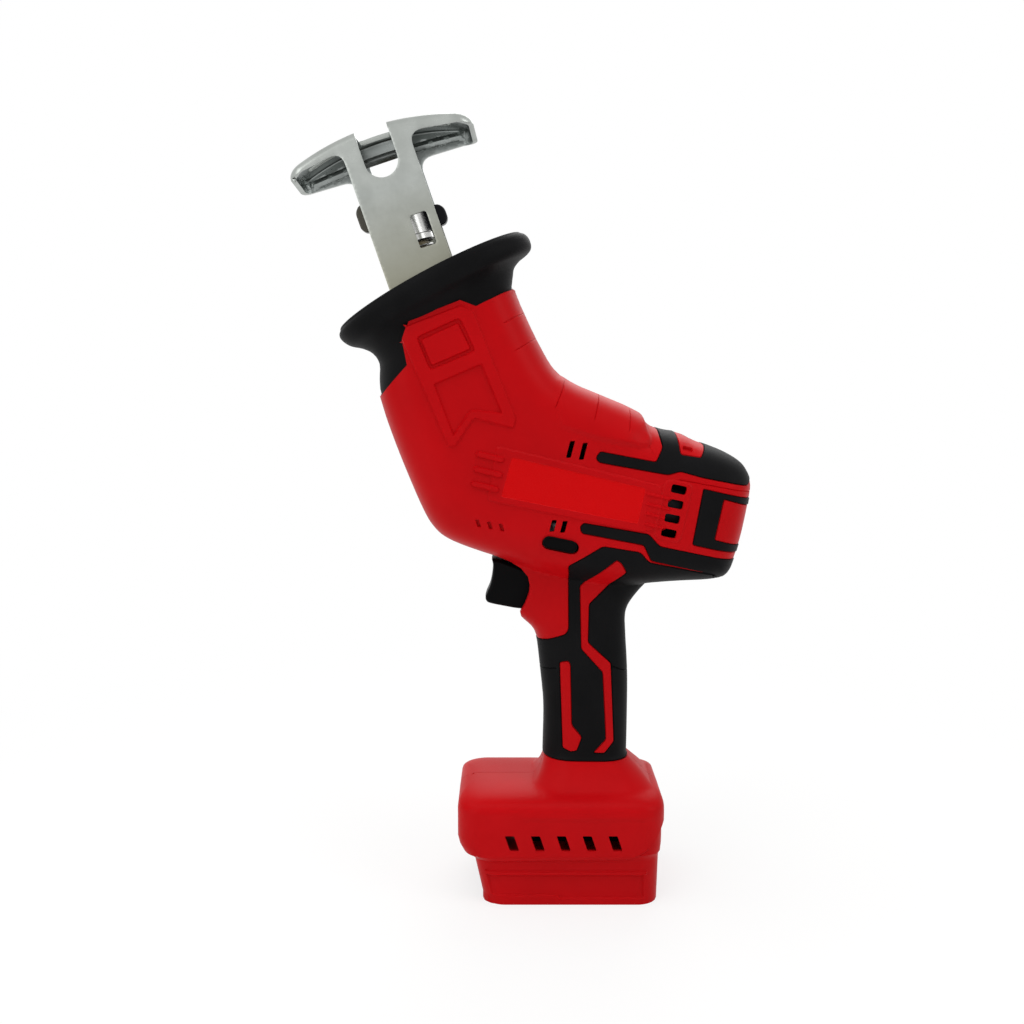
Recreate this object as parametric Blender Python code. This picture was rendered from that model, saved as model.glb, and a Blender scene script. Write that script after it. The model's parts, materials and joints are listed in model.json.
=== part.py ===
"""One-handed cordless reciprocating saw, bare tool, as an assembly of separate pieces.

Run with: blender --background --python part.py

World frame, metres, +Z up. The saw stands on its battery foot. +X is the motor end, -X the blade
side, -Y the saw's left side. The origin is the centre of the bounding box's bottom face.

Sizes below are in millimetres. Three local frames share the Y axis of the parting plane:
  blade frame  (p, b): b runs out along the blade, p across it, from the gear axle's centre
  motor frame  (s, q): s runs along the motor shaft towards the rear, q across it, from the same centre
  boot frame   (u, n): u runs along the boot's seat on the housing, n out of it
"""

import math

import bmesh
import bpy
from mathutils import Matrix, Vector

MM = 0.001

# ---------------------------------------------------------------- driving dimensions (mm, degrees)
AXLE_X, AXLE_Z = -13.7, 217.7      # centre of the two gears, in the parting plane
BLADE_TILT = 19.0                  # blade axis from the vertical, towards -X
MOTOR_TILT = 12.0                  # motor axis below the horizontal, towards +X
SEAM = 0.15                        # half the gap between left and right pieces
FIT = 0.3                          # gap between pieces that seat on each other
RUN = 0.15                         # radial gap of a shaft or slide in its bearing

# housing
WALL = 3.0
BODY_HALF_WIDTH = 31.0
BODY_EDGE_RADIUS = 14.0
HANDLE_HALF_WIDTH, HANDLE_CORNER_RADIUS = 17.5, 15.5
GRIP_THICKNESS = 2.0
GRIP_BOTTOM_Z, GRIP_TOP_Z = 69.5, 140.0
BAND_THICKNESS = 2.0
BAND_START, BAND_END = 97.0, 110.0  # rear band, measured along the motor axis
RIB = 3.0
FAN_VENTS = ((42.5, 22.0), (48.5, 22.0), (42.5, -17.0), (48.5, -17.0))    # (s, q)
REAR_VENTS, REAR_VENT_FIRST, REAR_VENT_PITCH = 4, 12.0, 7.3
REAR_VENT_S = (88.0, 95.5)

# battery foot
FOOT_HALF_WIDTH = 37.5
CHANNEL_TOP_Z = 24.0
CHANNEL_HALF_WIDTH = 26.0
GROOVE_DEPTH = 4.0
GROOVE_BOTTOM_Z, GROOVE_TOP_Z = 8.0, 14.0
CHANNEL_BACK_X = 60.0
FOOT_SLOTS, FOOT_SLOT_FIRST, FOOT_SLOT_PITCH = 5, -2.5, 12.9
FOOT_SLOT_Z = (29.5, 37.0)

# shoe
SHOE_HALF_WIDTH = 17.0
SHOE_PLATE = 2.5
STEM_HALF_WIDTH = 16.9
STEM_START, SHOE_CROWN = 40.0, 176.0
FOOT_PLATE_RADIUS = 130.0
FOOT_PLATE_HALF_LENGTH = 46.5
FOOT_PLATE_CENTRE = 1.3
BLADE_SLOT_HALF_WIDTH = 8.2
NOTCH_DEPTH = 25.0
NEAR_FLANGE_DEPTH, FAR_FLANGE_DEPTH = 4.5, 11.0
TRAY_HOLES = (-25.0, 31.0)         # centres across the foot plate
TRAY_HOLE_HALF_LENGTH, TRAY_HOLE_HALF_WIDTH = 9.0, 3.6
STEM_WINDOW_P, STEM_WINDOW_B = (4.0, 12.5), (113.5, 130.0)
SHOE_SCREW_B, SHOE_SCREW_RADIUS, SHOE_SCREW_HEAD = 58.0, 2.0, 2.2

# gear train
GEAR_TEETH, PINION_TEETH = 45, 10
GEAR_MODULE = 1.18
GEAR_TOOTH_INNER, GEAR_TOOTH_OUTER = 24.0, 29.0
GEAR_THICKNESS = 5.0
TOOTH_HEIGHT = 1.8
GEAR_HUB_RADIUS = 7.0
GEAR_HUB_LENGTH = 6.5
PINION_TIP_RADIUS = 6.9
PINION_START, PINION_END = 24.3, 31.0
CRANK_RADIUS = 10.0                # half the stroke
CRANK_PIN_RADIUS = 3.0

# spindle and counterweight
YOKE_THICKNESS = 6.1
YOKE_GAP = 0.4                     # each yoke's distance from the parting plane
YOKE_HALF_HEIGHT = 6.0
YOKE_END_WALL = 2.7
COUNTERWEIGHT_TAIL = 9.0           # half the width of its lower end
SPINDLE_RADIUS = 6.0
SPINDLE_NECK_END = 28.0
BUSHING_RADIUS = 9.0
REAR_BUSHING = (42.0, 54.0)
FRONT_BUSHING = (72.0, 86.0)
SEAL = (87.0, 91.5)

# gear case
CASE_WALL = 3.0
CASE_NOSE_END = 92.0
CASE_NOSE_HALF_HEIGHT = 15.0
CASE_SNOUT_RADIUS = 20.0
CASE_SNOUT_END = 39.0
GEAR_BEARING_RADIUS = 10.5

# blade clamp
CLAMP_START, CLAMP_END = 112.0, 146.0
CLAMP_RADIUS = 8.5
SLEEVE_RADIUS = 11.8
SLEEVE_START, SLEEVE_END = 118.0, 141.5
LUG_REACH = 21.5
LUG_LENGTH = 11.0
LEFT_LUG, RIGHT_LUG = 135.0, 127.0
LUG_HALF_THICKNESS = 3.2
BLADE_SLOT_GAP = 0.8               # half the blade slot's thickness
BLADE_TANG_HALF_WIDTH, BLADE_TANG_START = 6.5, 126.0
LOCK_PIN_B, LOCK_PIN_RADIUS = 134.0, 1.8

# motor
ARMATURE_RADIUS = 20.0
MAGNET_GAP = 0.8
CAN_WALL = 4.2                     # the steel can with its magnets
CAN_RADIUS = ARMATURE_RADIUS + MAGNET_GAP + CAN_WALL
CAN_START, CAN_END = 52.0, 104.0
ARMATURE_START, ARMATURE_END = 58.0, 96.0
SHAFT_RADIUS = 3.0
SHAFT_END = 122.0
MOTOR_BEARING_RADIUS = 8.0
FAN_RADIUS = 21.0
FAN_START, FAN_END = 42.0, 50.0
COMMUTATOR_RADIUS = 9.0
COMMUTATOR_START, COMMUTATOR_END = 98.0, 110.0
END_BELL_RADIUS = 22.0
END_BELL_END = 121.0

# trigger group
TRIGGER_HALF_WIDTH = 8.5
TRIGGER_TRAVEL = 6.0
TRIGGER_BACK_X = 14.0
SWITCH_FRONT_X = TRIGGER_BACK_X + 2.0 * TRIGGER_TRAVEL + 1.0
SWITCH_X = (SWITCH_FRONT_X, SWITCH_FRONT_X + 20.0)
SWITCH_Z = (134.5, 162.0)
SWITCH_HALF_WIDTH = 9.0
LOCK_X, LOCK_Z = 20.9, 183.4
LOCK_HALF_LENGTH, LOCK_HALF_HEIGHT = 8.7, 3.1
LOCK_PROUD = 1.6                   # past the side of the body, at each end

# electrics
CONTROLLER_X = (23.5, 47.5)
CONTROLLER_HALF_WIDTH = 7.5
CONTROLLER_Z = (84.0, 119.0)
TERMINAL_X = (10.0, 50.0)
TERMINAL_HALF_WIDTH = 15.0
TERMINAL_FLANGE = 4.0
LEAD_RADIUS = 1.3
LEAD_X, LEAD_Y = 26.0, 5.0         # battery leads, between the terminal block and the controller
MOTOR_LEAD_Y = 8.0                 # motor leads, between the switch and the end bell
MOTOR_LEAD_PATH = (                # (X, Z)
    (42.0, SWITCH_Z[1] + FIT), (42.0, 166.5), (47.0, 171.3), (56.0, 172.6), (68.0, 172.4), (78.0, 170.6),
    (90.0, 169.0), (96.5, 169.2), (98.5, 172.2),
)
MOTOR_LEAD_ROOMS = ((38.0, 52.0, 160.0), (50.0, 76.0, 170.4), (74.0, 101.0, 167.3))   # low X, high X, floor Z
MOTOR_LEAD_CEILING = 174.6

# fasteners
SCREW_RADIUS, SCREW_HEAD_RADIUS, SCREW_HEAD_HEIGHT = 1.6, 3.2, 2.5
BOSS_RADIUS = 4.2
SCREW_DEPTH = 11.0                 # past the parting plane, into the left shell
SEAT_DEPTH = 8.5                   # head seat below the half width
BODY_SCREWS = ((-6.5, 285.0), (-55.5, 247.5), (3.5, 182.5), (30.0, 250.0), (84.0, 229.5), (66.0, 166.0))
HANDLE_SCREWS = ((36.0, 126.5), (36.0, 77.0))

# upper body in the parting plane, counterclockwise from the boot's front corner (X, Z)
BOOT_FRONT, BOOT_REAR = (-69.0, 255.0), (-1.7, 308.2)
BODY_OUTLINE = (
    BOOT_FRONT, (-66.0, 243.0), (-46.5, 195.5), (-34.0, 182.5), (-13.8, 174.8), (30.0, 163.0),
    (104.0, 163.0), (118.2, 211.0), (100.0, 229.0), (66.0, 240.0), (46.0, 252.5), (20.0, 266.0), BOOT_REAR,
)
# handle sections: height, front X, rear X
HANDLE_SECTIONS = (
    (66.0, 13.8, 56.8), (95.0, 14.6, 57.3), (130.0, 10.8, 56.0), (144.0, 4.5, 55.6), (158.0, 1.5, 64.0),
    (176.0, 0.0, 76.0),
)
# foot sections: height, front X, rear X, half width as a share of the widest, corner radius
FOOT_SECTIONS = (
    (0.0, -18.0, 72.8, 0.955, 13.0), (24.0, -23.3, 73.4, 0.965, 13.0), (26.0, -27.0, 74.2, 1.0, 13.0),
    (34.0, -30.0, 74.6, 1.0, 12.0), (46.0, -30.0, 74.6, 1.0, 12.0), (50.5, -29.1, 74.0, 0.98, 12.0),
    (54.0, -26.3, 72.0, 0.87, 12.0), (56.1, -21.6, 68.5, 0.635, 12.0), (57.0, -16.0, 62.0, 0.3, 8.0),
)
# neck between foot and handle: height, front X, rear X, half width, corner radius
NECK_SECTIONS = (
    (48.0, -3.0, 74.0, 34.8, 14.0), (54.0, 5.0, 71.2, 30.5, 14.0), (58.0, 9.8, 68.0, 26.5, 14.0),
    (62.0, 12.2, 64.5, 22.8, 14.5), (66.0, 13.4, 60.5, 19.6, 15.0), (GRIP_BOTTOM_Z - FIT, 13.8, 57.4, 17.7, 15.5),
)
# trigger in the parting plane, counterclockwise (X, Z)
TRIGGER_OUTLINE = (
    (-13.2, 172.5), (-12.5, 166.5), (-13.6, 159.5), (-16.3, 153.2), (-14.8, 149.3), (1.6, 146.2),
    (TRIGGER_BACK_X, 146.2), (TRIGGER_BACK_X, 163.0), (2.0, 168.5),
)
# boot rings: front (u, n), rear (u, n), half width
BOOT_RINGS = (
    ((-42.7, 0.2), (42.7, 0.2), 32.0), ((-31.7, 13.0), (47.0, 4.8), 28.5), ((-33.5, 22.0), (52.4, 8.2), 31.0),
    ((-40.0, 28.0), (61.6, 9.8), 36.5), ((-40.5, 34.0), (64.2, 15.2), 38.0), ((-37.0, 37.0), (61.5, 19.8), 36.0),
)
BOOT_WALL = 3.2
BOOT_BEND = 2.2                    # how far the rim bows outwards half way along

ROUND = 20                         # sides of a round piece
BOLT_ROUND = 12


# ---------------------------------------------------------------- frames
def direction(angle):
    """Unit vector in the XZ plane, at an angle in degrees from +X towards +Z."""
    return Vector((math.cos(math.radians(angle)), 0.0, math.sin(math.radians(angle))))


Y_AXIS = Vector((0.0, 1.0, 0.0))
AXLE = Vector((AXLE_X, 0.0, AXLE_Z))
BLADE_B = direction(90.0 + BLADE_TILT)
BLADE_P = direction(BLADE_TILT)
MOTOR_S = direction(-MOTOR_TILT)
MOTOR_Q = direction(90.0 - MOTOR_TILT)
BOOT_CENTRE = Vector(((BOOT_FRONT[0] + BOOT_REAR[0]) / 2, 0.0, (BOOT_FRONT[1] + BOOT_REAR[1]) / 2))
BOOT_SLOPE = math.degrees(math.atan2(BOOT_REAR[1] - BOOT_FRONT[1], BOOT_REAR[0] - BOOT_FRONT[0]))
BOOT_U = direction(BOOT_SLOPE)
BOOT_N = direction(90.0 + BOOT_SLOPE)


def blade_point(p, y, b):
    """World point of blade-frame coordinates."""
    return AXLE + BLADE_P * p + Y_AXIS * y + BLADE_B * b


def motor_point(s, y=0.0, q=0.0):
    """World point of motor-frame coordinates."""
    return AXLE + MOTOR_S * s + Y_AXIS * y + MOTOR_Q * q


def boot_point(u, y, n):
    """World point of boot-frame coordinates."""
    return BOOT_CENTRE + BOOT_U * u + Y_AXIS * y + BOOT_N * n


def xz_point(x, y, z):
    """World point."""
    return Vector((x, y, z))


# ---------------------------------------------------------------- scene and materials
def clear_scene():
    """Removes every object of the start-up scene."""
    for old in list(bpy.data.objects):
        bpy.data.objects.remove(old, do_unlink=True)


def make_collection(name):
    """A collection linked to the scene."""
    collection = bpy.data.collections.new(name)
    bpy.context.scene.collection.children.link(collection)
    return collection


def make_material(name, colour, roughness, metallic=0.0):
    """A Principled BSDF material."""
    material = bpy.data.materials.new(name)
    material.use_nodes = True
    shader = material.node_tree.nodes["Principled BSDF"]
    shader.inputs["Base Color"].default_value = (*colour, 1.0)
    shader.inputs["Roughness"].default_value = roughness
    shader.inputs["Metallic"].default_value = metallic
    material.diffuse_color = (*colour, 1.0)
    return material


clear_scene()
SAW = make_collection("reciprocating_saw")
MATERIALS = {
    "red_nylon": make_material("red_nylon", (0.55, 0.012, 0.012), 0.42),
    "black_rubber": make_material("black_rubber", (0.012, 0.013, 0.013), 0.7),
    "black_nylon": make_material("black_nylon", (0.015, 0.015, 0.016), 0.5),
    "shoe_steel": make_material("shoe_steel", (0.52, 0.55, 0.55), 0.32, 1.0),
    "bright_steel": make_material("bright_steel", (0.58, 0.58, 0.57), 0.3, 1.0),
    "bronzed_steel": make_material("bronzed_steel", (0.08, 0.075, 0.06), 0.4, 1.0),
    "cast_aluminium": make_material("cast_aluminium", (0.55, 0.56, 0.57), 0.5, 1.0),
    "copper": make_material("copper", (0.7, 0.3, 0.16), 0.35, 1.0),
    "carbon": make_material("carbon", (0.03, 0.03, 0.03), 0.8),
    "red_lead": make_material("red_lead", (0.5, 0.02, 0.02), 0.5),
    "black_lead": make_material("black_lead", (0.02, 0.02, 0.02), 0.5),
}


# ---------------------------------------------------------------- solids
def add_object(name, bm, material=None):
    """Turns a bmesh in millimetres into an object of the saw, in metres."""
    bmesh.ops.scale(bm, vec=(MM, MM, MM), verts=bm.verts)
    bmesh.ops.recalc_face_normals(bm, faces=bm.faces)
    mesh = bpy.data.meshes.new(name)
    bm.to_mesh(mesh)
    bm.free()
    body = bpy.data.objects.new(name, mesh)
    SAW.objects.link(body)
    if material:
        mesh.materials.append(MATERIALS[material])
    return body


def loft(name, rings, material=None):
    """A closed solid through rings of points, with a flat cap on the first and the last ring."""
    bm = bmesh.new()
    rows = [[bm.verts.new(point) for point in ring] for ring in rings]
    count = len(rows[0])
    for low, high in zip(rows, rows[1:]):
        for i in range(count):
            j = (i + 1) % count
            bm.faces.new((low[i], low[j], high[j], high[i]))
    bm.faces.new(rows[0][::-1])
    bm.faces.new(rows[-1])
    return add_object(name, bm, material)


def tube_loft(name, rings, material=None):
    """A closed tubular solid through rings of points, the last ring joined to the first."""
    bm = bmesh.new()
    rows = [[bm.verts.new(point) for point in ring] for ring in rings]
    count = len(rows[0])
    for low, high in zip(rows, rows[1:] + rows[:1]):
        for i in range(count):
            j = (i + 1) % count
            bm.faces.new((low[i], low[j], high[j], high[i]))
    return add_object(name, bm, material)


def prism(name, outline, low, high, place=xz_point, material=None):
    """An outline of (a, c) points extruded along Y from low to high, in the frame of place(a, y, c)."""
    rings = [[place(a, y, c) for a, c in outline] for y in (low, high)]
    return loft(name, rings, material)


def box(name, a_range, y_range, c_range, place=xz_point, material=None):
    """A box in the frame of place(a, y, c)."""
    bm = bmesh.new()
    bmesh.ops.create_cube(bm, size=1.0)
    middle = [(low + high) / 2 for low, high in (a_range, y_range, c_range)]
    size = [high - low for low, high in (a_range, y_range, c_range)]
    for vert in bm.verts:
        vert.co = place(*(m + s * c for m, s, c in zip(middle, size, vert.co)))
    return add_object(name, bm, material)


def cylinder(name, start, end, radius, sides=ROUND, material=None):
    """A cylinder between two world points."""
    bm = bmesh.new()
    axis = end - start
    bmesh.ops.create_cone(bm, cap_ends=True, segments=sides, radius1=radius, radius2=radius, depth=axis.length)
    turn = axis.to_track_quat("Z", "X").to_matrix().to_4x4()
    bmesh.ops.transform(bm, matrix=Matrix.Translation((start + end) / 2) @ turn, verts=bm.verts)
    return add_object(name, bm, material)


def turned(name, profile, start, axis, sides=ROUND, material=None):
    """A solid of revolution. The profile is a closed loop of (radius, along) points round its wall."""
    turn = axis.to_track_quat("Z", "X").to_matrix()
    rings = []
    for radius, along in profile:
        ring = []
        for i in range(sides):
            angle = 2.0 * math.pi * i / sides
            ring.append(start + turn @ Vector((radius * math.cos(angle), radius * math.sin(angle), along)))
        rings.append(ring)
    return tube_loft(name, rings, material)


def sleeve(name, start, end, outer, inner, sides=ROUND, material=None):
    """A plain ring or bushing between two world points."""
    length = (end - start).length
    profile = ((inner, 0.0), (outer, 0.0), (outer, length), (inner, length))
    return turned(name, profile, start, (end - start).normalized(), sides, material)


def boolean(target, tools, operation):
    """Applies one exact Boolean for each tool and removes the tools."""
    for tool in tools:
        step = target.modifiers.new(operation.lower(), "BOOLEAN")
        step.operation = operation
        step.object = tool
        step.solver = "EXACT"
        bpy.context.view_layer.update()
        result = bpy.data.meshes.new_from_object(target.evaluated_get(bpy.context.evaluated_depsgraph_get()))
        target.modifiers.clear()
        target.data = result
        bpy.data.objects.remove(tool, do_unlink=True)
    return target


def cut(target, *tools):
    """Takes the tools out of the target."""
    return boolean(target, tools, "DIFFERENCE")


def join(target, *tools):
    """Adds the tools to the target."""
    return boolean(target, tools, "UNION")


def common(target, *tools):
    """Keeps what the target and each tool share."""
    return boolean(target, tools, "INTERSECT")


def copy_of(source, name):
    """A copy of a solid with its own mesh."""
    twin = bpy.data.objects.new(name, source.data.copy())
    SAW.objects.link(twin)
    return twin


def paint(target, material):
    """Gives a solid one material."""
    target.data.materials.clear()
    target.data.materials.append(MATERIALS[material])
    return target


def split(whole, left_name, right_name, material):
    """Cuts a solid at the parting plane into a left and a right piece, a seam's width apart."""
    reach = 400.0
    pieces = []
    for name, side in ((left_name, -1), (right_name, 1)):
        piece = copy_of(whole, name)
        near, far = sorted((side * SEAM, side * reach))
        common(piece, box("side", (-reach, reach), (near, far), (-reach, 2 * reach)))
        pieces.append(paint(piece, material))
    bpy.data.objects.remove(whole, do_unlink=True)
    return pieces


# ---------------------------------------------------------------- outlines and sections
def inset(outline, distance):
    """A counterclockwise outline moved inwards by a distance."""
    points = [Vector(point) for point in outline]
    result = []
    for i, point in enumerate(points):
        before = (point - points[i - 1]).normalized()
        after = (points[(i + 1) % len(points)] - point).normalized()
        inward = Vector((-before.y - after.y, before.x + after.x)).normalized()
        reach = distance / max(0.3, inward.dot(Vector((-after.y, after.x))))
        result.append(tuple(point + inward * reach))
    return result


def body_solid(name, depth=0.0):
    """The upper body, moved inwards by a depth, with its rounded side edges."""
    radius = max(BODY_EDGE_RADIUS - depth, 1.0)
    half = BODY_HALF_WIDTH - depth
    profile = []
    for angle in (90.0, 60.0, 30.0, 0.0):
        turn = math.radians(angle)
        profile.append((half - radius + radius * math.sin(turn), depth + radius * (1.0 - math.cos(turn))))
    rings = []
    for y, distance in profile:
        rings.append([xz_point(x, -y, z) for x, z in inset(BODY_OUTLINE, distance)])
    for y, distance in reversed(profile):
        rings.append([xz_point(x, y, z) for x, z in inset(BODY_OUTLINE, distance)])
    return loft(name, rings)


def rounded_section(front, rear, half_width, corner, z, steps=3):
    """A rectangle in plan with round corners, counterclockwise from above."""
    corner = min(corner, half_width - 0.5, (rear - front) / 2 - 0.5)
    centres = (
        (rear - corner, half_width - corner, 0.0), (front + corner, half_width - corner, 90.0),
        (front + corner, corner - half_width, 180.0), (rear - corner, corner - half_width, 270.0),
    )
    ring = []
    for x, y, start in centres:
        for k in range(steps + 1):
            angle = math.radians(start + 90.0 * k / steps)
            ring.append(xz_point(x + corner * math.cos(angle), y + corner * math.sin(angle), z))
    return ring


def handle_solid(name, depth=0.0, bottom=HANDLE_SECTIONS[0][0], top=HANDLE_SECTIONS[-1][0]):
    """The handle, moved inwards by a depth, between two heights."""
    heights = sorted({bottom, top} | {row[0] for row in HANDLE_SECTIONS if bottom < row[0] < top})
    rings = []
    for z in heights:
        front, rear = handle_edges(z)
        half, corner = HANDLE_HALF_WIDTH - depth, HANDLE_CORNER_RADIUS - depth
        rings.append(rounded_section(front + depth, rear - depth, half, corner, z))
    return loft(name, rings)


def handle_edges(z):
    """Front and rear X of the handle at a height."""
    for low, high in zip(HANDLE_SECTIONS, HANDLE_SECTIONS[1:]):
        if z <= high[0]:
            break
    share = (z - low[0]) / (high[0] - low[0])
    return tuple(a + (b - a) * share for a, b in zip(low[1:], high[1:]))


def foot_solid(name):
    """The battery foot with the neck that carries the handle."""
    rings = []
    for z, front, rear, share, corner in FOOT_SECTIONS:
        rings.append(rounded_section(front, rear, FOOT_HALF_WIDTH * share, corner, z))
    foot = loft(name, rings)
    join(foot, neck_solid(0.0))
    return foot


def neck_solid(depth):
    """The flared neck, moved inwards by a depth."""
    rings = []
    for z, front, rear, half, corner in NECK_SECTIONS:
        rings.append(rounded_section(front + depth, rear - depth, half - depth, corner - depth, z))
    return loft("neck", rings)


def band_zone(name, gap=0.0):
    """The stretch of the motor end that the rear band covers."""
    reach = 90.0
    return box(name, (BAND_START - gap, BAND_END + gap), (-reach, reach), (-reach, reach), motor_point)


# ---------------------------------------------------------------- clearance shapes shared by neighbours
def gear_case_outer(name, gap=0.0):
    """The gear case's outside: gear drum, flat-sided nose and motor snout."""
    drum = GEAR_TOOTH_OUTER + 1.0 + CASE_WALL + gap
    width = case_half_width() + gap
    outer = cylinder(name, AXLE - Y_AXIS * width, AXLE + Y_AXIS * width, drum, 36)
    nose = SHOE_HALF_WIDTH - SHOE_PLATE - FIT + gap
    high = CASE_NOSE_HALF_HEIGHT + gap
    join(outer, box("nose", (-high, high), (-nose, nose), (5.0, CASE_NOSE_END + gap), blade_point))
    join(outer, cylinder("snout", motor_point(5.0), motor_point(CASE_SNOUT_END + gap), CASE_SNOUT_RADIUS + gap))
    return outer


def gear_face():
    """Distance of a gear's tooth tips from the parting plane: the pinion runs between them."""
    return PINION_TIP_RADIUS + FIT


def gear_back():
    """Distance of a gear's back from the parting plane."""
    return gear_face() + TOOTH_HEIGHT + GEAR_THICKNESS


def case_half_width():
    """Half the gear case's width over the gear bearings."""
    return gear_back() + GEAR_HUB_LENGTH + 1.0 + CASE_WALL


def stem_room():
    """The room in the housing for the shoe's two stem plates and all between them, from their inner end out."""
    half, width = STEM_HALF_WIDTH + FIT, SHOE_HALF_WIDTH + FIT
    return box("stem_room", (-half, half), (-width, width), (STEM_START - FIT, SHOE_CROWN), blade_point)


# ---------------------------------------------------------------- housing
def screw_places():
    """Each housing screw: name, X, Z and the height of its head seat."""
    places = []
    for i, (x, z) in enumerate(BODY_SCREWS):
        places.append((f"body_screw_{i + 1}", x, z, BODY_HALF_WIDTH - SEAT_DEPTH))
    for i, (x, z) in enumerate(HANDLE_SCREWS):
        places.append((f"handle_screw_{i + 1}", x, z, HANDLE_HALF_WIDTH - SEAT_DEPTH))
    return places


def screw_bore(x, z, seat):
    """The bore of one housing screw."""
    start, end = xz_point(x, -SCREW_DEPTH - 1.0, z), xz_point(x, seat + 1.0, z)
    return cylinder("bore", start, end, SCREW_RADIUS + FIT, BOLT_ROUND)


def screw_sink(x, z, seat):
    """The counterbore of one housing screw."""
    start, end = xz_point(x, seat, z), xz_point(x, BODY_HALF_WIDTH + 5.0, z)
    return cylinder("sink", start, end, SCREW_HEAD_RADIUS + FIT, BOLT_ROUND)


def body_ribs():
    """The plates inside the upper body that hold the gear case and the motor."""
    wide = (-60.0, 60.0)
    drum = GEAR_TOOTH_OUTER + 1.0 + CASE_WALL
    return [
        box("nose_rib", (-60.0, 60.0), wide, (46.0, 46.0 + RIB), blade_point),
        box("drum_rib", (-RIB / 2, RIB / 2), wide, (-80.0, -drum + 3.0), blade_point),
        box("front_rib", (-80.0, -drum + 3.0), wide, (-RIB / 2, RIB / 2), blade_point),
        box("snout_rib", (34.0, 34.0 + RIB), wide, (-70.0, 70.0), motor_point),
        box("can_rib", (62.0, 62.0 + RIB), wide, (-70.0, 70.0), motor_point),
        box("rear_rib", (83.0, 83.0 + RIB), wide, (-70.0, 70.0), motor_point),
    ]


def handle_shelves():
    """The plates inside the handle that hold the switch and the controller."""
    wide = (-60.0, 60.0)
    return [
        box("switch_shelf", (-20.0, 80.0), wide, (SWITCH_Z[0] - FIT - RIB, SWITCH_Z[0] - FIT)),
        box("switch_back", (SWITCH_X[1] + FIT, SWITCH_X[1] + FIT + 2.0), wide, (SWITCH_Z[0] - 2.0, SWITCH_Z[1])),
        box("controller_shelf", (-20.0, 80.0), wide, (CONTROLLER_Z[0] - FIT - RIB, CONTROLLER_Z[0] - FIT)),
    ]


def housing_void():
    """Everything that is hollow between the two shells."""
    void = body_solid("void", WALL)
    cut(void, *body_ribs())
    handle = handle_solid("handle_void", WALL + GRIP_THICKNESS + FIT)
    cut(handle, *handle_shelves())
    join(void, handle)
    deck = CHANNEL_TOP_Z + WALL
    join(void, foot_void(deck))
    for _, x, z, _ in screw_places():
        reach = BODY_HALF_WIDTH + 5.0
        cut(void, cylinder("boss", xz_point(x, -reach, z), xz_point(x, reach, z), BOSS_RADIUS, BOLT_ROUND))
    join(void, gear_case_outer("case_room", FIT))
    join(void, cylinder("motor_room", motor_point(CASE_SNOUT_END), motor_point(CAN_END + 6.0), CAN_RADIUS + FIT))
    join(void, stem_room())
    half = TRIGGER_HALF_WIDTH + 0.5
    low, high = TRIGGER_OUTLINE[5][1] - 0.6, TRIGGER_OUTLINE[0][1] + 3.0
    join(void, box("trigger_room", (-30.0, SWITCH_X[0]), (-half, half), (low, high)))
    join(void, lock_solid("lock_room", FIT, 2.0 * BODY_HALF_WIDTH))
    for side in (-1, 1):
        across = sorted_range(side * (MOTOR_LEAD_Y - 3.0), side * (MOTOR_LEAD_Y + 3.0))
        for low, high, floor in MOTOR_LEAD_ROOMS:
            join(void, box("lead_room", (low, high), across, (floor, MOTOR_LEAD_CEILING)))
        hole = sorted_range(side * (LEAD_Y - 2.0), side * (LEAD_Y + 2.0))
        join(void, box("lead_hole", (LEAD_X - 2.0, LEAD_X + 2.0), hole, (deck + 5.0, CONTROLLER_Z[0] + 1.0)))
    return void


def motor_cross_point(q, y, s):
    """Motor-frame point with the cross coordinate first."""
    return motor_point(s, y, q)


def sorted_range(a, b):
    """Two numbers in rising order."""
    return (min(a, b), max(a, b))


def foot_void(deck):
    """The hollow of the foot above the battery channel's ceiling."""
    rings = []
    for z, front, rear, share, corner in FOOT_SECTIONS:
        if z <= deck + 2.0:
            continue
        half = FOOT_HALF_WIDTH * share - WALL
        rings.append(rounded_section(front + WALL, rear - WALL, half, corner - WALL, z - WALL))
    base = [Vector((point.x, point.y, deck)) for point in rings[0]]
    void = loft("foot_void", [base] + rings)
    join(void, neck_solid(WALL))
    return void


def battery_channel():
    """The open channel under the foot, with a groove for the battery's rails on each side."""
    front = FOOT_SECTIONS[3][1] - 5.0
    channel = box("channel", (front, CHANNEL_BACK_X), (-CHANNEL_HALF_WIDTH, CHANNEL_HALF_WIDTH),
                  (-5.0, CHANNEL_TOP_Z))
    groove = CHANNEL_HALF_WIDTH + GROOVE_DEPTH
    join(channel, box("groove", (front, CHANNEL_BACK_X), (-groove, groove), (GROOVE_BOTTOM_Z, GROOVE_TOP_Z)))
    return channel


def vent_cutters():
    """The openings for cooling air, cut through both side walls."""
    wide = (-60.0, 60.0)
    cutters = []
    for s, q in FAN_VENTS:
        cutters.append(box("vent", (q - 3.6, q + 3.6), wide, (s - 1.2, s + 1.2), motor_cross_point))
    for k in range(REAR_VENTS):
        q = REAR_VENT_FIRST - REAR_VENT_PITCH * k
        cutters.append(box("rear_vent", (q - 2.0, q + 2.0), wide, REAR_VENT_S, motor_cross_point))
    for k in range(FOOT_SLOTS):
        x = FOOT_SLOT_FIRST + FOOT_SLOT_PITCH * k
        cutters.append(box("foot_slot", (x - 2.1, x + 2.1), wide, FOOT_SLOT_Z))
    return cutters


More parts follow.
